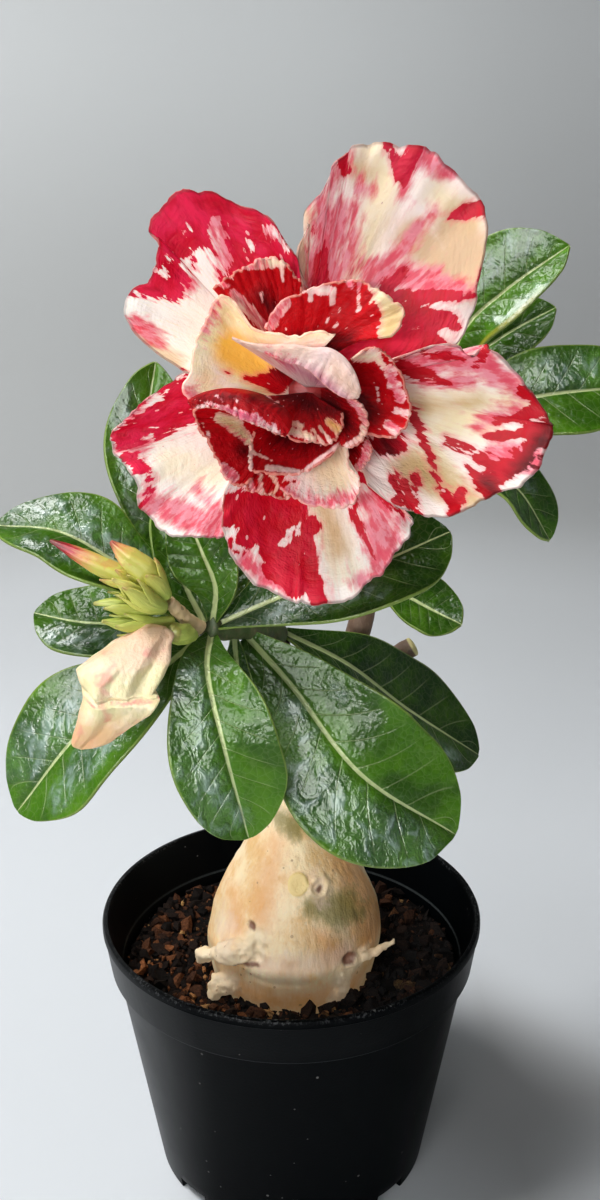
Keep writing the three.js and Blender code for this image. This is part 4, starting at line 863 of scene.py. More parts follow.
class Shader:
    """Adds nodes to a material or a node group and links them as it goes."""

    def __init__(self, tree):
        self.tree = tree

    def node(self, kind, inputs=(), **settings):
        """A node with these settings; its inputs are values or other nodes' sockets."""
        made = self.tree.nodes.new(kind)
        for name, value in settings.items():
            setattr(made, name, value)
        for key, value in dict(inputs).items():
            socket = made.inputs[key.replace("_", " ") if isinstance(key, str) else key]
            if isinstance(value, bpy.types.NodeSocket):
                self.tree.links.new(value, socket)
            else:
                socket.default_value = value
        return made

    def value(self, name):
        """A number stored on the vertices."""
        return self.node("ShaderNodeAttribute", attribute_name=name).outputs["Fac"]

    def place(self):
        """The place on the piece, in millimetres."""
        return self.scaled(self.node("ShaderNodeTexCoord").outputs["Object"], (1000, 1000, 1000))

    def chart(self):
        """The piece's own UV map."""
        return self.node("ShaderNodeTexCoord").outputs["UV"]

    def scaled(self, vector, scale, shift=(0, 0, 0)):
        inputs = {"Vector": vector, "Scale": scale, "Location": shift}
        return self.node("ShaderNodeMapping", inputs).outputs["Vector"]

    def parts(self, vector):
        return self.node("ShaderNodeSeparateXYZ", {0: vector}).outputs

    def noise(self, vector, scale=1.0, detail=3.0, roughness=0.5, distortion=0.0):
        inputs = {"Vector": vector, "Scale": scale, "Detail": detail, "Roughness": roughness,
                  "Distortion": distortion}
        return self.node("ShaderNodeTexNoise", inputs).outputs["Fac"]

    def maths(self, operation, first, second=0.0):
        return self.node("ShaderNodeMath", {0: first, 1: second}, operation=operation).outputs[0]

    def times(self, *values):
        return functools.reduce(lambda first, second: self.maths("MULTIPLY", first, second), values)

    def plus(self, first, second):
        return self.maths("ADD", first, second)

    def less(self, first, second):
        return self.maths("SUBTRACT", first, second)

    def gap(self, first, second):
        """How far apart two values are."""
        return self.maths("ABSOLUTE", self.less(first, second))

    def step(self, value, low, high):
        """Eases from 0 at low to 1 at high."""
        inputs = {"Value": value, "From Min": low, "From Max": high}
        made = self.node("ShaderNodeMapRange", inputs, interpolation_type="SMOOTHSTEP")
        return made.outputs["Result"]

    def mix(self, share, first, second, kind="MIX"):
        """Two colours mixed."""
        return self.node("ShaderNodeMix", {0: share, 6: first, 7: second}, data_type="RGBA",
                         blend_type=kind).outputs[2]

    def between(self, share, first, second):
        """Two numbers mixed."""
        return self.node("ShaderNodeMix", {0: share, 2: first, 3: second}).outputs[0]

    def coats(self, base, *coats):
        """Lays coats on a base colour: each has its colour, its mask and, below 1, its share."""
        for tint, mask, *share in coats:
            base = self.mix(self.times(mask, *share), base, tint)
        return base

    def ramp(self, value, *stops):
        """A colour ramp through (place, colour) stops."""
        made = self.node("ShaderNodeValToRGB", {0: value})
        elements = made.color_ramp.elements
        elements[0].position, elements[0].color = stops[0]
        elements[1].position, elements[1].color = stops[-1]
        for position, tint in stops[1:-1]:
            elements.new(position).color = tint
        return made.outputs["Color"]

    def relief(self, *layers):
        """The normal of a relief: each layer has its height and its depth in millimetres."""
        normal = {}
        for height, depth in layers:
            inputs = {"Height": height, "Distance": depth * MM, **normal}
            normal = {"Normal": self.node("ShaderNodeBump", inputs).outputs["Normal"]}
        return normal["Normal"]

    def torn(self, field, flow, tear, edge):
        """Where a field in mm is positive, with an edge torn along a flow."""
        inputs = {"Field": field, "Flow": flow, "Tear": tear, "Edge": edge}
        return self.node("ShaderNodeGroup", inputs, node_tree=torn_patch()).outputs[0]

    def specks(self, place, density, size, share):
        """Small round specks in some cells of the place."""
        inputs = {"Place": place, "Density": density, "Size": size, "Share": share}
        return self.node("ShaderNodeGroup", inputs, node_tree=specks()).outputs[0]

    def surface(self, **inputs):
        """The closing shader; an input's name has _ for each blank."""
        made = self.node("ShaderNodeBsdfPrincipled", inputs)
        self.node("ShaderNodeOutputMaterial", {0: made.outputs[0]})


def new_material(name):
    """An empty material and the shader that fills it."""
    material = bpy.data.materials.new(name)
    material.use_nodes = True
    material.node_tree.nodes.clear()
    return material, Shader(material.node_tree)


def mask_group(name, fill, **inputs):
    """A node group that puts out a mask; fill makes it from the group's inputs. It is built once."""
    if name in bpy.data.node_groups:
        return bpy.data.node_groups[name]
    tree = bpy.data.node_groups.new(name, "ShaderNodeTree")
    for label, default in inputs.items():
        kind = "NodeSocketVector" if isinstance(default, tuple) else "NodeSocketFloat"
        socket = tree.interface.new_socket(name=label, in_out="INPUT", socket_type=kind)
        socket.default_value = default
    tree.interface.new_socket(name="Mask", in_out="OUTPUT", socket_type="NodeSocketFloat")
    shader = Shader(tree)
    mask = fill(shader, tree.nodes.new("NodeGroupInput").outputs)
    shader.node("NodeGroupOutput", {0: mask})
    return tree


def torn_patch():
    """A patch whose edge is torn along a flow: its field is in mm, positive inside."""
    def fill(shader, given):
        broad = shader.noise(given["Flow"], 1.0, 2, 0.5, 0.4)
        fine = shader.noise(shader.scaled(given["Flow"], (3.1, 3.1, 3.1), (5, 2, 9)), 1.0, 3, 0.6)
        wander = shader.plus(shader.times(shader.less(broad, 0.5), 4),
                             shader.times(shader.less(fine, 0.5), 2.4))
        field = shader.plus(given["Field"], shader.times(wander, given["Tear"]))
        return shader.step(field, shader.times(given["Edge"], -1), given["Edge"])

    return mask_group("Torn Patch", fill, Field=0.0, Flow=(0.0, 0.0, 0.0), Tear=1.0, Edge=0.15)


def specks():
    """Small round specks, one in each of the cells that are chosen by share."""
    def fill(shader, given):
        cell = shader.node("ShaderNodeTexVoronoi", {"Vector": given["Place"],
                                                    "Scale": given["Density"]})
        chosen, _, spread = shader.parts(cell.outputs["Color"])
        near = shader.times(given["Size"], shader.plus(spread, 0.3))
        return shader.times(shader.maths("LESS_THAN", cell.outputs["Distance"], near),
                            shader.maths("LESS_THAN", chosen, given["Share"]))

    return mask_group("Specks", fill, Place=(0.0, 0.0, 0.0), Density=1.0, Size=0.2, Share=0.5)


# ---- Pot and soil --------------------------------------------------------------------------

def plastic_material(settings):
    """Near-black moulded plastic with a fine grain and dust, painted highlights on the lip and the
    collar's lower edge, and a stronger painted reflection on the left flank.
    """
    material, shader = new_material("pot_plastic")
    place = shader.place()
    across, _, height = shader.parts(place)
    cloud = shader.noise(place, 0.05, 4, 0.6)
    fine = shader.noise(place, 1.6, 3, 0.6)
    dust = shader.specks(place, 0.3, 0.09, 0.4)
    # Painted highlight: a pale, broken line of light along the top of the lip.
    lip_highlight_share = shader.between(shader.step(cloud, 0.46, 0.6), 0.03, 0.18)
    painted_lip_highlight = shader.times(shader.step(height, 74.6, 75.9), shader.step(fine, 0.5, 0.66), lip_highlight_share)
    # Painted highlight: a pale line along the collar's lower edge.
    painted_collar_highlight = shader.times(shader.step(shader.gap(height, COLLAR_HIGHLIGHT_HEIGHT), 0.5, 0.1),
                        shader.between(fine, 0.1, 0.45))
    base = shader.coats(
        settings.plastic,
        (colour(5, 9, 11), cloud, 0.4),
        (colour(150, 152, 154), painted_lip_highlight),
        (colour(92, 98, 100), painted_collar_highlight),
        (settings.dust, dust, 0.55))
    # Painted reflection: the left flank, where the light falls, and a little the collar reflect more
    # strongly.
    left_flank_sheen = shader.maths("MAXIMUM", shader.step(across, -18, -44),
                          shader.times(shader.step(height, 61, 66), 0.1))
    rough = shader.between(dust, shader.between(cloud, 0.3, 0.46), 0.9)
    shader.surface(Base_Color=base, Roughness=rough, Normal=shader.relief((fine, 0.03)),
                   Specular_IOR_Level=shader.between(left_flank_sheen, 0.02, 0.12))
    return material


def soil_material(settings):
    """Fine dark soil between the crumbs, darker in the shade at the right."""
    material, shader = new_material("soil_fines")
    place = shader.place()
    clumps = shader.noise(place, 0.5, 5, 0.7)
    fine = shader.noise(place, 2.2, 4, 0.7)
    base = shader.ramp(clumps, (0.3, colour(12, 8, 6)), (0.5, settings.soil),
                       (0.75, colour(60, 40, 27)))
    shaded = shader.step(shader.parts(place)[0], *SOIL_SHADE)
    base = shader.coats(base, (colour(10, 6, 4), shaded, 0.7))
    shader.surface(Base_Color=base, Roughness=shader.between(fine, 0.85, 1.0),
                   Normal=shader.relief((clumps, 1.2), (fine, 0.4)), Specular_IOR_Level=0.1)
    return material


def crumb_material():
    """Bark, grit and fibre crumbs, each with its own tone, darker in the shade at the right."""
    material, shader = new_material("soil_crumbs")
    place = shader.place()
    fine = shader.noise(place, 1.8, 4, 0.7)
    base = shader.ramp(shader.value("tone"), (0.0, colour(10, 6, 4)), (0.45, colour(34, 21, 13)),
                       (0.78, colour(90, 54, 33)), (0.95, colour(150, 92, 54)),
                       (1.0, colour(214, 166, 104)))
    across, depth, _ = shader.parts(place)
    shaded = shader.times(shader.step(across, *SOIL_SHADE), shader.step(depth, -34, -22))
    base = shader.coats(base, (colour(12, 7, 5), shaded, 0.75))
    base = shader.mix(shader.step(fine, 0.35, 0.8), base, colour(90, 78, 70), "MULTIPLY")
    shader.surface(Base_Color=base, Roughness=shader.between(fine, 0.7, 0.95),
                   Normal=shader.relief((fine, 0.25)), Specular_IOR_Level=0.12)
    return material


class ROSE_OT_pot(bpy.types.Operator):
    """Model the nursery pot: turned wall, collar and lip, foot notches and drain holes"""

    bl_idname = "rose.pot"
    bl_label = "Pot"

    def execute(self, context):
        settings = context.scene.desert_rose.pot
        pot = turned_piece("pot_moulding", POT_PROFILE, POT_SIDES)
        for index in range(NOTCHES):
            turn = FIRST_NOTCH + 2 * math.pi * index / NOTCHES
            outwards = np.array((math.cos(turn), math.sin(turn), 0)) * MM
            deselect()
            bpy.ops.mesh.primitive_cube_add(size=1, location=NOTCH_CIRCLE * outwards,
                                            rotation=(0, 0, turn),
                                            scale=[size * MM for size in NOTCH_SIZE])
            cut(pot)
            deselect()
            spot = DRAIN_CIRCLE * outwards + (0, 0, POT_FLOOR * MM)
            bpy.ops.mesh.primitive_cylinder_add(vertices=DRAIN_SIDES, radius=DRAIN_RADIUS * MM,
                                                depth=4 * POT_FLOOR * MM, location=spot)
            cut(pot)
        modify(pot, "BEVEL", width=settings.bevel * MM, segments=2, limit_method="ANGLE",
               angle_limit=math.radians(50))
        finish_piece(pot, plastic_material(settings), "pot", "pot", crease=35)
        return {"FINISHED"}


class ROSE_OT_soil(bpy.types.Operator):
    """Model the potting soil: a lumpy bed and loose crumbs of bark and grit on it"""

    bl_idname = "rose.soil"
    bl_label = "Soil"

    def execute(self, context):
        settings = context.scene.desert_rose.pot
        bed = turned_piece("soil_bed", SOIL_PROFILE, TURNED_SIDES)
        places = vertices(bed)
        top = places[:, 2] > 56
        lift = 1.1 * grain(places, 6, 1) + 0.6 * grain(places, 2.5, 2)
        radius = np.hypot(places[:, 0], places[:, 1])
        inside = smoothstep(46, 43, radius) * smoothstep(24, 26, radius)
        places[:, 2] += np.where(top, lift * inside, 0)
        set_vertices(bed, places)
        finish_piece(bed, soil_material(settings), "soil", "soil")
        self.scatter(settings)
        return {"FINISHED"}

    def scatter(self, settings):
        """Copies one crumb all over the bed, each copy with its own size, shape, turn and tone."""
        chance = np.random.default_rng(11)
        deselect()
        bpy.ops.mesh.primitive_ico_sphere_add(subdivisions=1, radius=1)
        crumb = added("soil_crumbs")
        ball = rows_of(crumb, "co")
        faces = np.array([list(face.vertices) for face in crumb.data.polygons])
        count = settings.crumbs
        radius = np.sqrt(chance.uniform(CRUMB_INNER ** 2, CRUMB_OUTER ** 2, count))
        turn = chance.uniform(0, 2 * math.pi, count)
        size = settings.crumb_size * np.clip(chance.lognormal(0, 0.55, count), 0.4, 3.0)
        stretch = chance.uniform(0.55, 1.5, (count, 3))
        radius = np.maximum(np.minimum(radius, CRUMB_OUTER - size), CRUMB_INNER + size)
        shape = ball[None] * (1 + 0.3 * chance.normal(size=(count, len(ball), 1)))
        shape = shape * stretch[:, None] * size[:, None, None]
        axis = unit(chance.normal(size=(count, 3)))
        shape = turned_about(shape, axis, chance.uniform(0, math.pi, count))
        surface = np.interp(radius, *zip(*[spot for spot in SOIL_PROFILE if spot[1] > 57]))
        centre = np.stack([radius * np.cos(turn), radius * np.sin(turn),
                           surface + size * chance.uniform(-0.2, 1.1, count)], -1)
        places = (shape + centre[:, None]).reshape(-1, 3) * MM
        polygons = (faces[None] + len(ball) * np.arange(count)[:, None, None]).reshape(-1, 3)
        crumb.data.clear_geometry()
        crumb.data.from_pydata(places.tolist(), [], polygons.tolist())
        set_values(crumb, tone=np.repeat(chance.uniform(0, 1, count), len(ball)))
        finish_piece(crumb, crumb_material(), "soil", crease=25)


def turned_about(shapes, axis, angle):
    """Each shape turned about its own axis."""
    cosine, sine = np.cos(angle)[:, None, None], np.sin(angle)[:, None, None]
    axis = axis[:, None]
    along = (shapes * axis).sum(-1, keepdims=True)
    return shapes * cosine + np.cross(axis, shapes) * sine + axis * along * (1 - cosine)


# ---- Caudex and stems ----------------------------------------------------------------------

def caudex_material(settings):
    """Pale papery bark with streaks, green patches, scars and whitish broken roots, with painted
    shade on its right flank and a painted glow on its lower part.
    """
    material, shader = new_material("caudex_bark")
    place = shader.place()
    across, _, height = shader.parts(place)
    streak = shader.noise(shader.scaled(place, (1.3, 1.3, 0.16)), 1.0, 4, 0.6)
    cloud = shader.noise(place, 0.12, 4, 0.6)
    fine = shader.noise(place, 1.5, 4, 0.65)
    flow = shader.scaled(place, (0.5, 0.5, 0.3))
    base = shader.coats(
        settings.bark,
        (settings.tan, shader.step(cloud, 0.38, 0.66)),
        (colour(190, 138, 88), shader.step(streak, 0.52, 0.78), 0.3),
        (colour(240, 222, 190), shader.step(streak, 0.5, 0.25), 0.5),
        # Painted shade: the right flank darkens towards brown.
        (colour(150, 112, 62), shader.times(shader.step(across, 6, 24), 0.35)),
        *((tint, shader.torn(shader.value(name), flow, tear, edge), share)
          for name, (tint, tear, edge, share, _) in CAUDEX_PAINTS.items()),
        (colour(150, 96, 56), shader.specks(place, 0.45, 0.16, 0.22), 0.5))
    # Painted light: the caudex glows a little, most below the crease, to lift its shade.
    glow = shader.between(shader.step(height, 76, 66), 0.03, 0.17)
    shader.surface(Base_Color=base, Roughness=shader.between(cloud, 0.5, 0.72),
                   Normal=shader.relief((fine, 0.12), (streak, 0.25)), Subsurface_Weight=0.06,
                   Subsurface_Radius=(0.003, 0.0018, 0.001), Emission_Color=base,
                   Emission_Strength=glow)
    return material


def spot(places, x, z, radius):
    """A round field on the front of the caudex, in mm and positive inside."""
    gap = np.hypot(places[:, 0] - x, places[:, 2] - z)
    return np.where(places[:, 1] < 0, radius - gap, FAR_OUTSIDE)


class ROSE_OT_caudex(bpy.types.Operator):
    """Model the caudex: a turned bottle shape joined with its root stubs, creased and scarred"""

    bl_idname = "rose.caudex"
    bl_label = "Caudex"

    def execute(self, context):
        settings = context.scene.desert_rose.wood
        outline = even_spline([(r, 0, z) for r, z in CAUDEX_PROFILE], np.linspace(0, 1, 70))
        profile = [(max(r, 0.4), z) for r, _, z in outline]
        body = turned_piece("caudex_body", profile, TURNED_SIDES)
        set_vertices(body, self.lean(vertices(body)))
        stubs = [limb_piece(f"root_{index}", stub["points"], stub["radii"], *STUB_MESH,
                            round_ends=(0.8, 0.7)) for index, stub in enumerate(ROOT_STUBS)]
        body = join([body] + stubs)
        modify(body, "REMESH", mode="VOXEL", voxel_size=settings.voxel * MM)
        modify(body, "SMOOTH", factor=0.5, iterations=5)
        self.sculpt(body)
        finish_piece(body, caudex_material(settings), "caudex", "caudex")
        return {"FINISHED"}

    def lean(self, places):
        """Leans the turned body to the right, swells it in three lobes and shifts its neck."""
        x, y, z = places.T
        neck = smoothstep(90, 112, z)
        lean = CAUDEX_LEAN * smoothstep(58, 80, z)
        shift = lean * (1 - neck) + CAUDEX_NECK_SHIFT * neck
        lobes = 1 + 0.025 * np.sin(3 * np.arctan2(y, x) + 0.6) * (1 - neck)
        return np.stack([x * lobes + shift, y * lobes, z], -1)

    def sculpt(self, body):
        """Moves the skin in and out for creases, scars and roots, and marks its colours."""
        places = vertices(body)
        x, y, z = places.T
        turn = np.arctan2(y, x)
        lift = 0.22 * grain(places * (1, 1, 0.22), 1.7, 3) + 0.35 * grain(places, 7, 4)
        crease = 67.6 + 0.7 * np.sin(2 * turn + 1) + 0.4 * np.sin(5 * turn)
        lift -= 0.2 * np.exp(-((z - crease) / 0.6) ** 2) * smoothstep(-6, -14, y)
        scar = spot(places, *SCAR)
        lift += 0.7 * smoothstep(0, 0.5, scar)
        lift -= 0.25 * smoothstep(0.6, 1.6, scar)
        knot = spot(places, *KNOT)
        lift += 0.9 * smoothstep(0, 1.2, knot) - 1.1 * smoothstep(1.0, 2.6, knot)
        lift += 0.4 * grain(places, 1.6, 9) * smoothstep(-1, 1, knot)
        for across, height, size, depth in CAUDEX_HOLES:
            lift -= depth * smoothstep(0, size, spot(places, across, height, size))
        roots = smoothstep(24.2, 25.6, np.hypot(x, y)) * smoothstep(76, 74, z)
        stub = np.maximum.reduce([self.near(places, stub["points"]) for stub in ROOT_STUBS])
        lift += 0.8 * grain(places, 1.9, 5) * smoothstep(-1.5, 0.5, stub)
        lift += 0.25 * grain(places * (1, 1, 2.5), 1.2, 8) * smoothstep(-1.5, 0.5, stub)
        set_vertices(body, places + rows_of(body, "normal") * lift[:, None])
        front = np.where((y < 0)[:, None], places[:, ::2], OFF_THE_FRONT)
        set_values(body, **{name: field(front, paint[-1], FAR_OUTSIDE)
                            for name, paint in CAUDEX_PAINTS.items() if paint[-1]})
        set_values(body, pale=np.maximum(stub, roots * 2 - 1))

    def near(self, places, points):
        """How far inside a root's reach each place lies, in mm."""
        line = even_spline(points, np.linspace(0, 1, 12))
        gap = np.min([np.linalg.norm(places - point, axis=1) for point in line], axis=0)
        return ROOT_REACH - gap


def stem_material(settings):
    """Brown or green bark with leaf scars, and a pale face where the stub was cut."""
    material, shader = new_material("stem_bark")
    place = shader.place()
    cloud = shader.noise(place, 0.22, 4, 0.6)
    fine = shader.noise(shader.scaled(place, (1.2, 1.2, 0.5)), 1.0, 4, 0.65)
    green = shader.step(shader.plus(shader.value("tone"), shader.less(cloud, 0.5)), 0.25, 0.8)
    base = shader.coats(
        settings.stem,
        (settings.green, green),
        (colour(150, 124, 96), shader.step(fine, 0.5, 0.8), 0.5),
        (colour(238, 206, 158), shader.value("rosy"), shader.between(cloud, 0.95, 0.6)),
        (colour(60, 42, 30), shader.specks(place, 0.5, 0.3, 0.4), 0.5),
        (shader.mix(cloud, colour(226, 206, 150), colour(176, 170, 104)), shader.value("cut"),
         shader.step(shader.value("along"), 0.97, 0.99)))
    shader.surface(Base_Color=base, Roughness=shader.between(fine, 0.5, 0.75),
                   Normal=shader.relief((fine, 0.2)))
    return material


class ROSE_OT_stems(bpy.types.Operator):
    """Model the grafted stem, its two branches, the cut stub and the bud stalk"""

    bl_idname = "rose.stems"
    bl_label = "Stems"

    def execute(self, context):
        material = stem_material(context.scene.desert_rose.wood)
        for index, stem in enumerate(STEMS):
            piece = limb_piece(f"{stem['name']}_bark", stem["points"], stem["radii"], *STEM_MESH,
                               relief=self.knobs(index))
            rosy = stem["name"] == "bud_stalk"
            set_values(piece, tone=stem["tone"], rosy=rosy, cut=stem["name"] == "branch_stub")
            finish_piece(piece, material, "bud" if rosy else "stem", stem["name"])
        return {"FINISHED"}

    def knobs(self, seed):
        """Leaf scars stand in a spiral along the stem."""
        def relief(share, turn):
            spiral = np.sin(2 * math.pi * (4.5 * share + seed * 0.3)) * np.cos(turn - 9 * share)
            return 0.06 * spiral + 0.03 * np.sin(3 * turn + 20 * share + seed)
        return relief


# ---- Leaves --------------------------------------------------------------------------------

def leaf_material(settings):
    """Glossy green blade with a pale midrib, side veins, a fine net, patches of painted sheen and
    painted shade near its base.
    """
    material, shader = new_material("leaf_blade")
    place = shader.place()
    across, along, _ = shader.parts(shader.chart())
    side = shader.gap(shader.times(across, 2), 1)
    cloud = shader.noise(place, 0.13, 4, 0.55)
    fine = shader.noise(place, 1.6, 3, 0.6)
    wrinkle = shader.noise(shader.scaled(place, (0.3, 0.3, 0.18)), 1.0, 3, 0.55, 0.5)
    fold = shader.gap(shader.maths("FRACT", shader.value("vein")), 0.5)
    line = shader.times(shader.step(fold, 0.455, 0.495), shader.step(side, 0.96, 0.55))
    net = shader.node("ShaderNodeTexVoronoi", {"Vector": place, "Scale": 0.55},
                      feature="DISTANCE_TO_EDGE").outputs["Distance"]
    width = shader.between(along, 0.85, 0.22)
    midrib = shader.step(shader.less(shader.maths("ABSOLUTE", shader.value("rib")), width),
                         0.16, -0.1)
    # Random darker mottling, and painted shade towards the leaf's base near the hub.
    mottle_and_base_shade = shader.maths("MAXIMUM", shader.step(shader.noise(place, 0.075, 2, 0.5), 0.46, 0.62),
                        shader.step(along, 0.42, 0.08))
    painted_sheen = shader.torn(shader.value("painted_sheen"), shader.scaled(place, (0.25, 0.25, 0.25)), 1.2, 2.2)
    crumple = shader.times(shader.value("crumple"), 2.4)
    # The tone is partly the leaf's own green and partly painted shade on leaves that lie in shade.
    base = shader.mix(shader.value("tone"), settings.dark, settings.bright)
    base = shader.coats(
        base,
        (shader.mix(0.3, base, colour(104, 150, 30)), shader.step(cloud, 0.35, 0.75)),
        (settings.dark, mottle_and_base_shade, 0.55),
        (settings.vein, shader.step(net, 0.1, 0.0), 0.05),
        (settings.vein, line, 0.22),
        (settings.vein, midrib, 0.9),
        (colour(150, 146, 46), shader.value("curl"), shader.step(side, 0.8, 0.9)),
        (colour(150, 170, 84), shader.step(side, 0.965, 0.995), 0.5),
        # Painted sheen: a pale blue-green gloss and brighter streaks of reflection in the colour.
        (colour(92, 122, 108), painted_sheen, 0.15),
        (colour(186, 206, 206), shader.times(painted_sheen, shader.step(wrinkle, 0.46, 0.68)), 0.38))
    back = shader.step(shader.value("back"), 0.4, 0.6)
    under = shader.coats(
        settings.under,
        (colour(96, 122, 52), cloud, 0.4),
        (settings.vein, shader.maths("MAXIMUM", line, midrib)))
    base = shader.mix(back, base, under)
    height = shader.plus(shader.times(line, -0.6), shader.times(shader.step(net, 0.0, 0.4), 0.35))
    hammer = shader.plus(shader.noise(place, 0.42, 2, 0.5),
                         shader.times(wrinkle, shader.times(painted_sheen, crumple)))
    relief = shader.relief((hammer, 0.5), (fine, 0.05), (height, 0.16))
    wax = shader.node("ShaderNodeMix", {0: shader.times(painted_sheen, 0.5), 4: relief, 5: WAX_FACING},
                      data_type="VECTOR").outputs[1]
    wax = shader.node("ShaderNodeVectorMath", {0: wax}, operation="NORMALIZE").outputs[0]
    coat = shader.times(shader.between(painted_sheen, 0.2, 0.75), shader.between(back, 1.0, 0.1))
    rough = shader.between(back, shader.between(fine, 0.26, 0.4), 0.6)
    shader.surface(Base_Color=base, Roughness=rough, Normal=relief, Specular_IOR_Level=0.15,
                   Coat_Weight=coat, Coat_Roughness=0.14, Coat_Normal=wax)
    return material


def leaf_spread(share):
    """Half the leaf's width as a share of its widest: a narrow wedge, then a rounded end."""
    wedge = np.clip(np.sin(math.pi * share ** 1.5), 0, 1)
    spread = PETIOLE_SHARE + (1 - PETIOLE_SHARE) * wedge ** 0.7
    tip = np.clip((share - 0.93) / 0.07, 0, 1)
    return spread * np.sqrt(np.clip(1 - tip ** 2, 0.0004, 1))


class ROSE_OT_leaves(bpy.types.Operator):
    """Model every leaf: a folded, waved blade quilted between its side veins"""

    bl_idname = "rose.leaves"
    bl_label = "Leaves"

    def execute(self, context):
        settings = context.scene.desert_rose.leaf
        material = leaf_material(settings)
        for index, leaf in enumerate(LEAVES):
            points, values = self.blade(leaf, index)
            piece = sheet_piece(f"{leaf['name']}_blade", points, settings.thickness, values)
            finish_piece(piece, material, "leaf", leaf["name"])
        return {"FINISHED"}

    def blade(self, leaf, seed):
        """Rows of points over a leaf, and what its material reads."""
        rows = np.linspace(0, 1, LEAF_ROWS)
        shares = 0.65 * rows + 0.35 * np.sin(0.5 * math.pi * rows)
        path = np.array(leaf["path"], float)
        path[0] += PETIOLE_ROOT * unit(path[:1] - path[1:2])[0]
        centres = even_spline(path, shares)
        along = unit(np.gradient(even_spline(path, np.linspace(0, 1, 200)), axis=0))
        along = unit(spread_over(shares, along))
        across = unit(np.cross(along, np.array(leaf["faces"], float)))
        up = unit(np.cross(across, along))
        side = np.linspace(-1, 1, LEAF_COLUMNS)[None]
        share = shares[:, None]
        spread = leaf_spread(share)
        spread = spread * (1 - 0.05 * (1 + np.sin(15 * share + 2 * np.sign(side) + seed)) * share)
        ripple = leaf["wave"] * side ** 2 * np.sin(3 * math.pi * share + 2 * side)
        ripple = ripple + 0.35 * np.abs(side) ** 3 * np.sin(17 * share + 5 * side + seed)
        phase = LEAF_VEINS * share - 1.7 * np.abs(side) + 0.4 * side ** 2 + 0.5 * (side > 0)
        quilt = np.abs(np.sin(math.pi * phase)) ** 0.7 - 0.6
        quilt = 0.35 * quilt * smoothstep(0, 0.25, np.abs(side)) * smoothstep(1, 0.7, np.abs(side))
        trim = np.where(side < 0, *leaf.get("halves", (1, 1)))
        reach = side * spread * trim * leaf["width"] / 2
        groove = -0.7 * np.exp(-(reach / 0.9) ** 2)
        lift = leaf["fold"] * side ** 2 * spread + (ripple + quilt) * spread + groove
        points = (centres[:, None] + across[:, None] * reach[..., None]
                  + up[:, None] * lift[..., None])
        length = np.linalg.norm(np.diff(leaf["path"], axis=0), axis=1).sum()
        chart = np.stack(np.broadcast_arrays(reach, length * share), -1)
        middle = smoothstep(0.2, 0.3, share) * smoothstep(0.85, 0.7, share)
        return points, {"tone": leaf["tone"], "rib": reach, "vein": phase,
                        "painted_sheen": field(chart, leaf.get("painted_sheen", []), NO_PAINT),
                        "crumple": leaf.get("crumple", 1),
                        "curl": leaf.get("curl", 0) * (side > 0) * middle}


# ---- Flower --------------------------------------------------------------------------------

def in_flower(places):
    """Places of (a, b, c), with a and b as the camera sees them in the plane c = 0."""
    centre, eye = np.array(FLOWER_CENTRE, float), np.array(CAMERA_PLACE)
    flat = centre + places[..., :1] * FLOWER_RIGHT + places[..., 1:2] * FLOWER_UP
    distance = FLOWER_OUT @ (eye - centre)
    return eye + (flat - eye) * (distance - places[..., 2:]) / distance


def field(places, strokes, start):
    """How far inside the nearest stroke each place lies, in mm, and never less than start."""
    best = np.full(places.shape[:-1], float(start))
    for a0, b0, a1, b1, width0, width1 in strokes:
        heel, along = np.array((a0, b0)), np.array((a1 - a0, b1 - b0))
        share = np.clip((places - heel) @ along / max(along @ along, 1e-6), 0, 1)
        gap = np.linalg.norm(places - heel - share[..., None] * along, axis=-1)
        best = np.maximum(best, (width0 + (width1 - width0) * share) / 2 - gap)
    return best


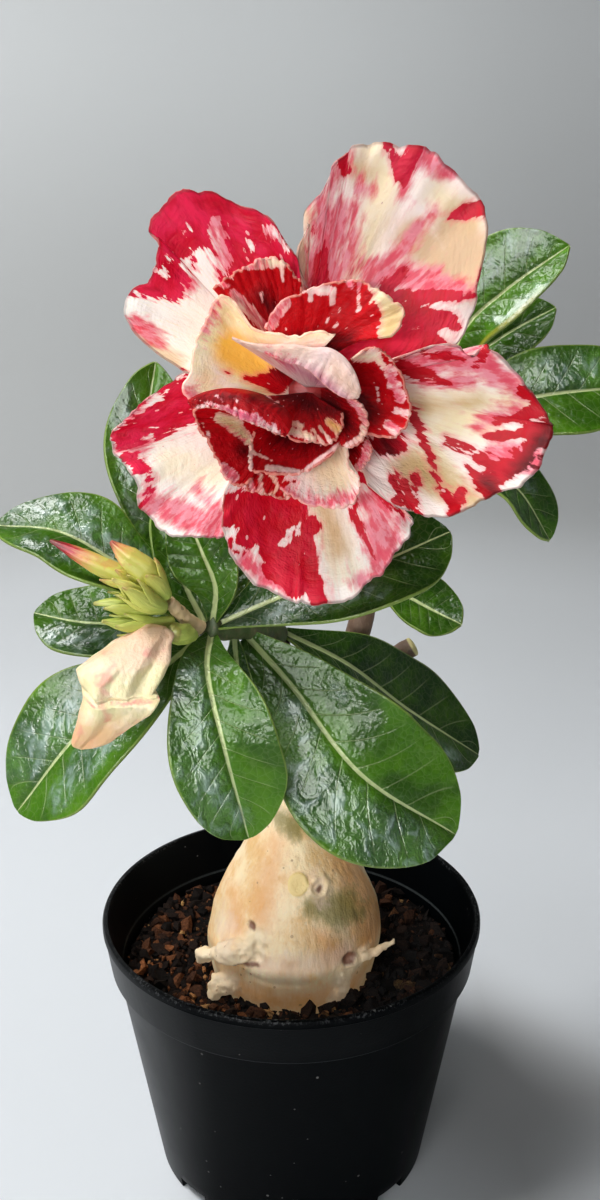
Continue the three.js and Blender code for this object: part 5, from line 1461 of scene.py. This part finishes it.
def petal_material(settings):
    """Petal tissue: cream and blush, with soft pink and torn crimson patches along its veins."""
    material, shader = new_material("petal_tissue")
    chart = shader.chart()
    _, along, _ = shader.parts(chart)
    flow = shader.scaled(chart, (26, 5, 1))
    veins = shader.noise(shader.scaled(chart, (120, 3, 1)), 1.0, 2, 0.5, 0.2)
    wash = shader.noise(shader.scaled(chart, (9, 6, 1)), 1.0, 4, 0.6)
    stipple = shader.noise(shader.scaled(chart, (44, 8, 1), (3, 8, 0)), 1.0, 3, 0.6)
    crepe = shader.noise(shader.scaled(chart, (13, 24, 1)), 1.0, 2, 0.5, 0.8)
    tear, outer = shader.value("tear"), shader.value("outer")

    def patch(name, wander, edge):
        return shader.torn(shader.value(name), flow, wander, edge)

    crimson = shader.coats(
        settings.crimson,
        (shader.mix(shader.step(wash, 0.36, 0.64), colour(200, 0, 40), colour(222, 30, 74)),
         shader.value("rosy")),
        (colour(160, 0, 24), shader.step(stipple, 0.5, 0.7), 0.35),
        # Painted shade: the dark strokes turn the red deep where the petals lie in shadow.
        (settings.shadow_red, patch("dark", 0.8, 2.6)),
        (colour(250, 190, 190), shader.specks(shader.scaled(chart, (34, 13, 1)), 1.0, 0.2, 0.14),
         0.8))
    # Painted light: outer petals with a high lit value are whitened, and lit also sets each petal's glow.
    painted_light_white = shader.times(outer, shader.step(shader.value("lit"), 0.06, 0.14))
    speckle = shader.times(shader.step(stipple, 0.56, 0.72),
                           shader.step(shader.value("pink"), -6, 1))
    hot = shader.mix(shader.step(stipple, 0.42, 0.58), settings.pink, colour(222, 40, 78))
    freckles = shader.specks(shader.scaled(chart, (24, 10, 1), (5, 2, 0)), 1.0, 0.15, 0.12)
    halo = shader.torn(shader.plus(shader.value("red"), 0.5), flow, shader.times(tear, 1.3), 0.9)
    base = shader.coats(
        settings.blush,
        (settings.cream, patch("warm", 0.8, 3.0)),
        (colour(255, 246, 234), shader.step(wash, 0.42, 0.7), 0.4),
        (colour(252, 254, 246), painted_light_white, 0.7),
        # Tan is the petals' own tan-cream, and on the right-hand outer petals also painted shade.
        (colour(204, 168, 108), patch("tan", 0.8, 2.6), 0.85),
        (colour(248, 186, 52), patch("glow", 0.3, 2.2), 0.9),
        (colour(222, 150, 120), shader.step(veins, 0.5, 0.75), 0.12),
        (colour(238, 186, 186), shader.value("flush")),
        (settings.pink, speckle, 0.5),
        (hot, patch("pink", 1.5, 1.5), 0.9),
        (colour(186, 70, 112), patch("mauve", 0.5, 1.8), 0.8),
        (colour(160, 60, 84), freckles, 0.6),
        (colour(240, 96, 120), halo, 0.5),
        (crimson, patch("red", tear, 0.16)),
        (shader.mix(outer, colour(236, 168, 150), colour(92, 18, 20)),
         shader.step(along, 0.98, 0.996), 0.55),
        (colour(244, 214, 196), shader.times(shader.value("back"), outer), 0.3))
    crepe = shader.times(crepe, shader.step(along, 0.3, 0.95))
    shader.surface(Base_Color=base, Roughness=shader.between(wash, 0.45, 0.62),
                   Normal=shader.relief((wash, 0.9), (veins, 0.06), (crepe, 0.2)),
                   Specular_IOR_Level=0.12, Subsurface_Weight=0.06,
                   Subsurface_Radius=(0.004, 0.0015, 0.001), Emission_Color=base,
                   Emission_Strength=shader.value("lit"))
    return material


class ROSE_OT_petals(bpy.types.Operator):
    """Model the outer and inner petals of the open flower and lay on their paint"""

    bl_idname = "rose.petals"
    bl_label = "Petals"

    def execute(self, context):
        settings = context.scene.desert_rose.flower
        material = petal_material(settings)
        petals = ([OUTER_HABIT | petal for petal in OUTER_PETALS]
                  + [INNER_HABIT | petal for petal in INNER_PETALS])
        for seed, petal in enumerate(petals):
            places = self.shape(petal, seed, settings.frill)
            piece = sheet_piece(f"{petal['name']}_tissue", in_flower(places), settings.thickness,
                                self.paint(petal, places[..., :2]))
            finish_piece(piece, material, "petal", petal["name"])
        return {"FINISHED"}

    def shape(self, petal, seed, height):
        """Rows of places over a petal, dished, ruffled and frilled, with a ragged rim."""
        shares = np.linspace(0, 1, PETAL_COLUMNS)
        rises = np.linspace(0, 1, PETAL_ROWS)
        stops = np.stack([spline(line, shares) for line in petal["lines"]])
        places = np.stack([spline(stops[:, column], rises) for column in range(PETAL_COLUMNS)], 1)
        share, rise = shares[None], rises[:, None]
        chart = np.stack(np.broadcast_arrays(60 * share, 40 * rise, seed * 11.0), -1)
        ragged = 0.9 * grain(chart * (1, 0, 1), 1.5, 1) + 0.6 * grain(chart * (1, 0, 1), 4, 2)
        ragged = np.minimum(ragged, 0.2) - 0.2
        places = places + unit(places[-1:] - places[:1]) * (ragged * rise ** 4)[..., None]
        waves = petal["ruffle"] * rise ** 2 * np.sin(7 * math.pi * share + seed)
        frill = height * rise ** 5 * np.sin(2 * math.pi * 13 * share + 3 * grain(chart, 9, 3))
        crumple = 0.5 * rise * grain(chart, 7, 4) + 0.12 * rise * grain(chart * (1, 0.12, 1), 1.1, 5)
        sink = petal["dish"] * np.sin(math.pi * rise) * np.sin(math.pi * share)
        places[..., 2] += waves + frill + crumple - sink
        return places

    def paint(self, petal, seen):
        """What the petals' material reads, from the petal's strokes as the camera sees them."""
        values = {name: field(seen, petal.get(name, []), NO_PAINT) for name in PAINTS}
        cream = field(seen, petal.get("cream", []), NO_PAINT)
        values["red"] = np.minimum(field(seen, petal.get("red", []), petal["ground"]), -cream)
        return values | {name: petal[name] for name in ("tear", "lit", "flush", "outer", "rosy")}


def tube_material():
    """Greenish yellow tube, redder in its throat."""
    material, shader = new_material("tube_tissue")
    streak = shader.noise(shader.scaled(shader.place(), (1.4, 0.3, 1.4)), 1.0, 3, 0.6)
    base = shader.ramp(shader.plus(shader.value("along"), shader.times(streak, 0.2)),
                       (0.2, colour(150, 168, 84)), (0.7, colour(214, 190, 110)),
                       (1.0, colour(170, 40, 40)))
    shader.surface(Base_Color=base, Roughness=shader.between(streak, 0.45, 0.6),
                   Normal=shader.relief((streak, 0.15)))
    return material


class ROSE_OT_tube(bpy.types.Operator):
    """Model the flower's tube, which rises from the calyx and widens to a domed throat"""

    bl_idname = "rose.tube"
    bl_label = "Flower Tube"

    def execute(self, context):
        a, b = THROAT_CENTRE
        centre = np.array(FLOWER_CENTRE) + a * FLOWER_RIGHT + b * FLOWER_UP
        route = TUBE_ROUTE + [tuple(centre - back * FLOWER_OUT) for back in TUBE_BACKS]
        tube = limb_piece("flower_tube_tissue", route, TUBE_RADII, *TUBE_MESH)
        throat = turned_piece("throat", THROAT_PROFILE, THROAT_SIDES)
        set_vertices(throat, centre + vertices(throat) @ (FLOWER_RIGHT, FLOWER_UP, FLOWER_OUT))
        set_values(throat, along=1, turn=0)
        tube = join([tube, throat])
        face_outwards(tube)
        finish_piece(tube, tube_material(), "petal", "flower_tube", crease=40)
        return {"FINISHED"}


# ---- Buds and the wilted flower ------------------------------------------------------------

def bud_material(settings):
    """Buds that run from green through yellow and orange to red tips."""
    material, shader = new_material("bud_skin")
    place = shader.place()
    streak = shader.noise(shader.scaled(shader.chart(), (9, 1.6, 1)), 1.0, 3, 0.6)
    fine = shader.noise(place, 1.7, 3, 0.6)
    along = shader.value("along")
    ripe = shader.times(along, shader.value("ripe"))
    reach = shader.plus(ripe, shader.times(shader.less(streak, 0.5), 0.35))
    base = shader.coats(
        shader.ramp(reach, (0.1, settings.bud_green), (0.56, colour(214, 206, 96)),
                    (0.72, colour(222, 150, 92)), (0.8, colour(184, 26, 38)),
                    (0.94, colour(112, 4, 24))),
        (colour(214, 110, 74), shader.times(shader.step(shader.noise(place, 0.3, 3, 0.6), 0.54, 0.66),
                                            shader.step(ripe, 0.3, 0.5)), 0.4),
        (colour(236, 232, 150), shader.times(shader.step(streak, 0.52, 0.74),
                                             shader.step(reach, 0.7, 0.5)), 0.55),
        (colour(120, 60, 30), shader.step(along, 0.9, 1.0), 0.4))
    shader.surface(Base_Color=base, Roughness=shader.between(fine, 0.4, 0.58),
                   Normal=shader.relief((fine, 0.06), (streak, 0.25)),
                   Subsurface_Weight=0.08, Subsurface_Radius=(0.002, 0.0015, 0.001))
    return material


def bud_relief(share, turn):
    """Rolled petals wind round a bud in a low spiral."""
    return 0.1 * np.sin(5 * turn + 7 * share) * smoothstep(0.1, 0.4, share)


class ROSE_OT_buds(bpy.types.Operator):
    """Model the buds with their sepals and the two calyxes"""

    bl_idname = "rose.buds"
    bl_label = "Buds"

    def execute(self, context):
        material = bud_material(context.scene.desert_rose.flower)
        for seed, bud in enumerate(BUDS):
            piece = limb_piece(f"{bud['name']}_skin", bud["points"], bud["radii"], *BUD_MESH,
                               relief=bud_relief, round_ends=(0.3, 0.6))
            set_values(piece, ripe=bud["ripe"])
            if "reach" in bud:
                piece = join([piece] + [self.sepal(bud, index, seed) for index in range(SEPALS)])
            finish_piece(piece, material, "bud", bud["name"])
        return {"FINISHED"}

    def sepal(self, bud, index, seed):
        """A pointed sepal that hugs its bud and opens a little towards its tip."""
        rows = np.linspace(0, 1, SEPAL_ROWS)[:, None]
        side = np.linspace(-1, 1, SEPAL_COLUMNS)[None]
        line = even_spline(bud["points"], np.linspace(0, 1, 100))
        _, across, uppers = path_frames(line)
        level = np.rint(99 * bud["reach"] * (0.86 + 0.14 * math.sin(3 * index)) * rows).astype(int)
        radius = np.interp(level / 99, np.linspace(0, 1, len(bud["radii"])), bud["radii"])
        spread = 1.15 * (1 - rows ** 2.4) + 0.02
        turn = 2 * math.pi * (index + 0.17 * seed) / SEPALS + side * spread
        away = radius * 1.08 + 0.2 + bud["open"] * rows ** 2 + 0.25 * (1 - side ** 2) * rows
        points = line[level] + away[..., None] * (np.cos(turn)[..., None] * across[level]
                                                  + np.sin(turn)[..., None] * uppers[level])
        values = {"along": rows, "turn": turn, "ripe": 0.25 + 0.42 * bud["ripe"]}
        return sheet_piece(f"sepal_{index}", points, SEPAL_THICKNESS, values)


def wilted_material():
    """Ivory papery tissue with a pink blush along its folds."""
    material, shader = new_material("wilted_tissue")
    place = shader.place()
    along = shader.value("along")
    cloud = shader.noise(place, 0.16, 4, 0.6)
    streak = shader.noise(shader.scaled(place, (0.9, 0.9, 0.2)), 1.0, 4, 0.6)
    line = shader.plus(shader.gap(along, 0.53), shader.times(streak, 0.04))
    line = shader.times(shader.step(line, 0.042, 0.022), shader.step(cloud, 0.36, 0.6))
    base = shader.coats(
        colour(232, 220, 168),
        (colour(246, 230, 196), shader.step(cloud, 0.4, 0.65)),
        (colour(232, 168, 116), shader.step(along, 0.56, 0.9), 0.7),
        (colour(226, 168, 146), shader.step(along, 0.32, 0.08), 0.6),
        (colour(226, 132, 122), shader.step(shader.noise(place, 0.2, 2, 0.5), 0.56, 0.74), 0.7),
        (colour(222, 104, 110), line, 0.8),
        (colour(214, 150, 110),
         shader.step(shader.maths("ABSOLUTE", shader.value("turn")), 2.5, 3.1), 0.4))
    shader.surface(Base_Color=base, Roughness=shader.between(cloud, 0.45, 0.62),
                   Normal=shader.relief((cloud, 0.6), (streak, 0.35)),
                   Subsurface_Weight=0.12, Subsurface_Radius=(0.004, 0.002, 0.0015))
    return material


class ROSE_OT_wilted(bpy.types.Operator):
    """Model the wilted flower that hangs folded from the bud cluster"""

    bl_idname = "rose.wilted"
    bl_label = "Wilted Flower"

    def execute(self, context):
        rows = np.array(WILTED_ROWS, float)
        piece, share, turn = ball_piece("wilted_flower_tissue", *WILTED_MESH)
        centre = spread_over(share, rows.mean(1))
        half = spread_over(share, (rows[:, 1] - rows[:, 0]) / 2)
        depth = np.interp(share, np.linspace(0, 1, len(rows)), WILTED_DEPTHS)
        close = np.sin(math.pi * np.clip(np.minimum(share, 1 - share) * 9, 0, 0.5))
        folds = 0.42 * self.fold(3 * turn + 2.6 * share + 0.7) + 0.16 * self.fold(7 * turn - 4 * share)
        places = centre + half * (np.cos(turn) * close)[:, None]
        front = np.array(WILTED_FRONT)
        places -= front * (np.sin(turn) * (1 + folds) * depth * close * 0.75)[:, None]
        crease = np.exp(-((share - 0.5 - 0.03 * np.cos(turn)) / 0.03) ** 2)
        places += front * (crease * -1.2 * close)[:, None]
        places += 0.35 * np.stack([grain(places, 4.5, seed) for seed in (6, 7, 8)], -1)
        set_values(piece, along=share, turn=turn)
        set_vertices(piece, places)
        face_outwards(piece)
        finish_piece(piece, wilted_material(), "wilted", "wilted_flower")
        return {"FINISHED"}

    def fold(self, turn):
        """A row of sharp pleats from -1 to 1."""
        return np.arcsin(np.sin(turn)) / (0.5 * math.pi)


# ---- Stage ---------------------------------------------------------------------------------

def stage_material(settings):
    """Pale floor that turns into a greyer wall, with painted light and shade: the far floor darker,
    the upper wall lighter, painted shade at the right and a painted shadow beside the pot.
    """
    material, shader = new_material("backdrop")
    across, depth, height = shader.parts(shader.place())
    # Painted light and shade: the wall lightens towards its top and the floor darkens far back.
    wall = shader.coats(settings.wall, (colour(202, 205, 206), shader.step(height, 120, 520)))
    floor = shader.coats(settings.floor, (wall, shader.step(depth, 130, 520), 0.42))
    # Painted shade at the right, weaker on the open floor and faded out in front.
    turn = shader.maths("DIVIDE", across, shader.maths("MAXIMUM", shader.plus(depth, 420), 250))
    open_floor = shader.times(shader.step(depth, 50, 200), shader.step(height, 60, 0))
    side = shader.times(shader.step(turn, -0.02, 0.25), shader.between(open_floor, 0.3, 0.1),
                        shader.step(depth, -170, -30))
    # Painted shadow on the floor at the right of the pot.
    foot = shader.plus(shader.gap(across, 66), shader.gap(depth, 12))
    base = shader.coats(
        shader.mix(shader.step(height, -3, 34), floor, wall),
        (colour(120, 121, 124), side),
        (colour(96, 88, 78), shader.step(foot, 90, 10), 0.5))
    shader.surface(Base_Color=base, Roughness=0.9, Specular_IOR_Level=0.1)
    return material


def softbox(name, place, aim, size, power, diffuse):
    """A square area light that looks at a point; places and size in millimetres."""
    light = bpy.data.lights.new(name, "AREA")
    light.shape = "SQUARE"
    light.size = size * MM
    light.energy = power
    lamp = bpy.data.objects.new(name, light)
    lamp.visible_diffuse = diffuse
    bpy.context.collection.objects.link(lamp)
    lamp.location = Vector(place) * MM
    direction = Vector(aim) - Vector(place)
    lamp.rotation_euler = direction.to_track_quat("-Z", "Y").to_euler()


class ROSE_OT_stage(bpy.types.Operator):
    """Set up the pale floor, the soft lights and the camera"""

    bl_idname = "rose.stage"
    bl_label = "Stage"

    def execute(self, context):
        settings = context.scene.desert_rose.stage
        self.backdrop(settings)
        for name, place, aim, size, share, diffuse in LAMPS:
            softbox(name, place, aim, size, share * settings.key, diffuse)
        world = bpy.data.worlds.new("studio")
        world.use_nodes = True
        background = world.node_tree.nodes["Background"].inputs
        background["Color"].default_value = colour(240, 240, 238)
        background["Strength"].default_value = 0.07
        context.scene.world = world
        context.scene.view_settings.view_transform = "Standard"
        self.camera(context, settings)
        return {"FINISHED"}

    def backdrop(self, settings):
        """A round floor whose rim bends up into a wall."""
        bends = [math.pi / 2 * step / 16 for step in range(17)]
        reach = WALL_RADIUS - FLOOR_RADIUS
        profile = [(FLOOR_RADIUS + reach * math.sin(bend), 0.9 * reach * (1 - math.cos(bend)))
                   for bend in bends] + [(WALL_RADIUS, WALL_HEIGHT)]
        deselect()
        bpy.ops.mesh.primitive_circle_add(vertices=96, radius=FLOOR_RADIUS, fill_type="NGON")
        floor = added("backdrop")
        bpy.ops.object.mode_set(mode="EDIT")
        bpy.ops.mesh.select_mode(type="EDGE")
        bpy.ops.mesh.select_all(action="SELECT")
        bpy.ops.mesh.region_to_loop()
        for (radius, height), (wider, higher) in zip(profile, profile[1:]):
            bpy.ops.mesh.extrude_edges_move(
                TRANSFORM_OT_translate={"value": (0, 0, higher - height)})
            widen(wider / radius)
        bpy.ops.object.mode_set(mode="OBJECT")
        floor.data.materials.append(stage_material(settings))
        bpy.ops.object.shade_smooth()

    def camera(self, context, settings):
        """The camera looks down on the plant from the front."""
        lens = bpy.data.cameras.new("camera")
        lens.lens = settings.lens
        lens.sensor_width = 36
        lens.clip_start = 0.01
        camera = bpy.data.objects.new("camera", lens)
        context.collection.objects.link(camera)
        camera.location = Vector(CAMERA_PLACE) * MM
        camera.rotation_euler = (math.pi / 2 - CAMERA_PITCH, 0, 0)
        context.scene.camera = camera


# ---- Panel and registration ----------------------------------------------------------------

OPERATORS = (ROSE_OT_stage, ROSE_OT_pot, ROSE_OT_soil, ROSE_OT_caudex, ROSE_OT_stems,
             ROSE_OT_leaves, ROSE_OT_petals, ROSE_OT_tube, ROSE_OT_buds, ROSE_OT_wilted)
GROUPS = (PotSettings, WoodSettings, LeafSettings, FlowerSettings, StageSettings, RoseSettings)


class ROSE_PT_panel(bpy.types.Panel):
    """Lists the plant's pieces and settings"""

    bl_idname = "ROSE_PT_panel"
    bl_label = "Desert Rose"
    bl_space_type = "VIEW_3D"
    bl_region_type = "UI"
    bl_category = "Desert Rose"

    def draw(self, context):
        layout = self.layout
        for operator in OPERATORS:
            layout.operator(operator.bl_idname)
        settings = context.scene.desert_rose
        for part in RoseSettings.__annotations__:
            group = getattr(settings, part)
            box = layout.box()
            for name in group.__annotations__:
                box.prop(group, name)


def register():
    """Registers the settings, the operators and the panel."""
    for part in (*GROUPS, *OPERATORS, ROSE_PT_panel):
        bpy.utils.register_class(part)
    bpy.types.Scene.desert_rose = pointer(RoseSettings, "Settings")


def unregister():
    """Takes back what register did."""
    del bpy.types.Scene.desert_rose
    for part in (ROSE_PT_panel, *reversed(OPERATORS), *reversed(GROUPS)):
        bpy.utils.unregister_class(part)


def main():
    """Builds the stage and every piece."""
    register()
    for operator in OPERATORS:
        family, name = operator.bl_idname.split(".")
        getattr(getattr(bpy.ops, family), name)()


if __name__ == "__main__":
    main()
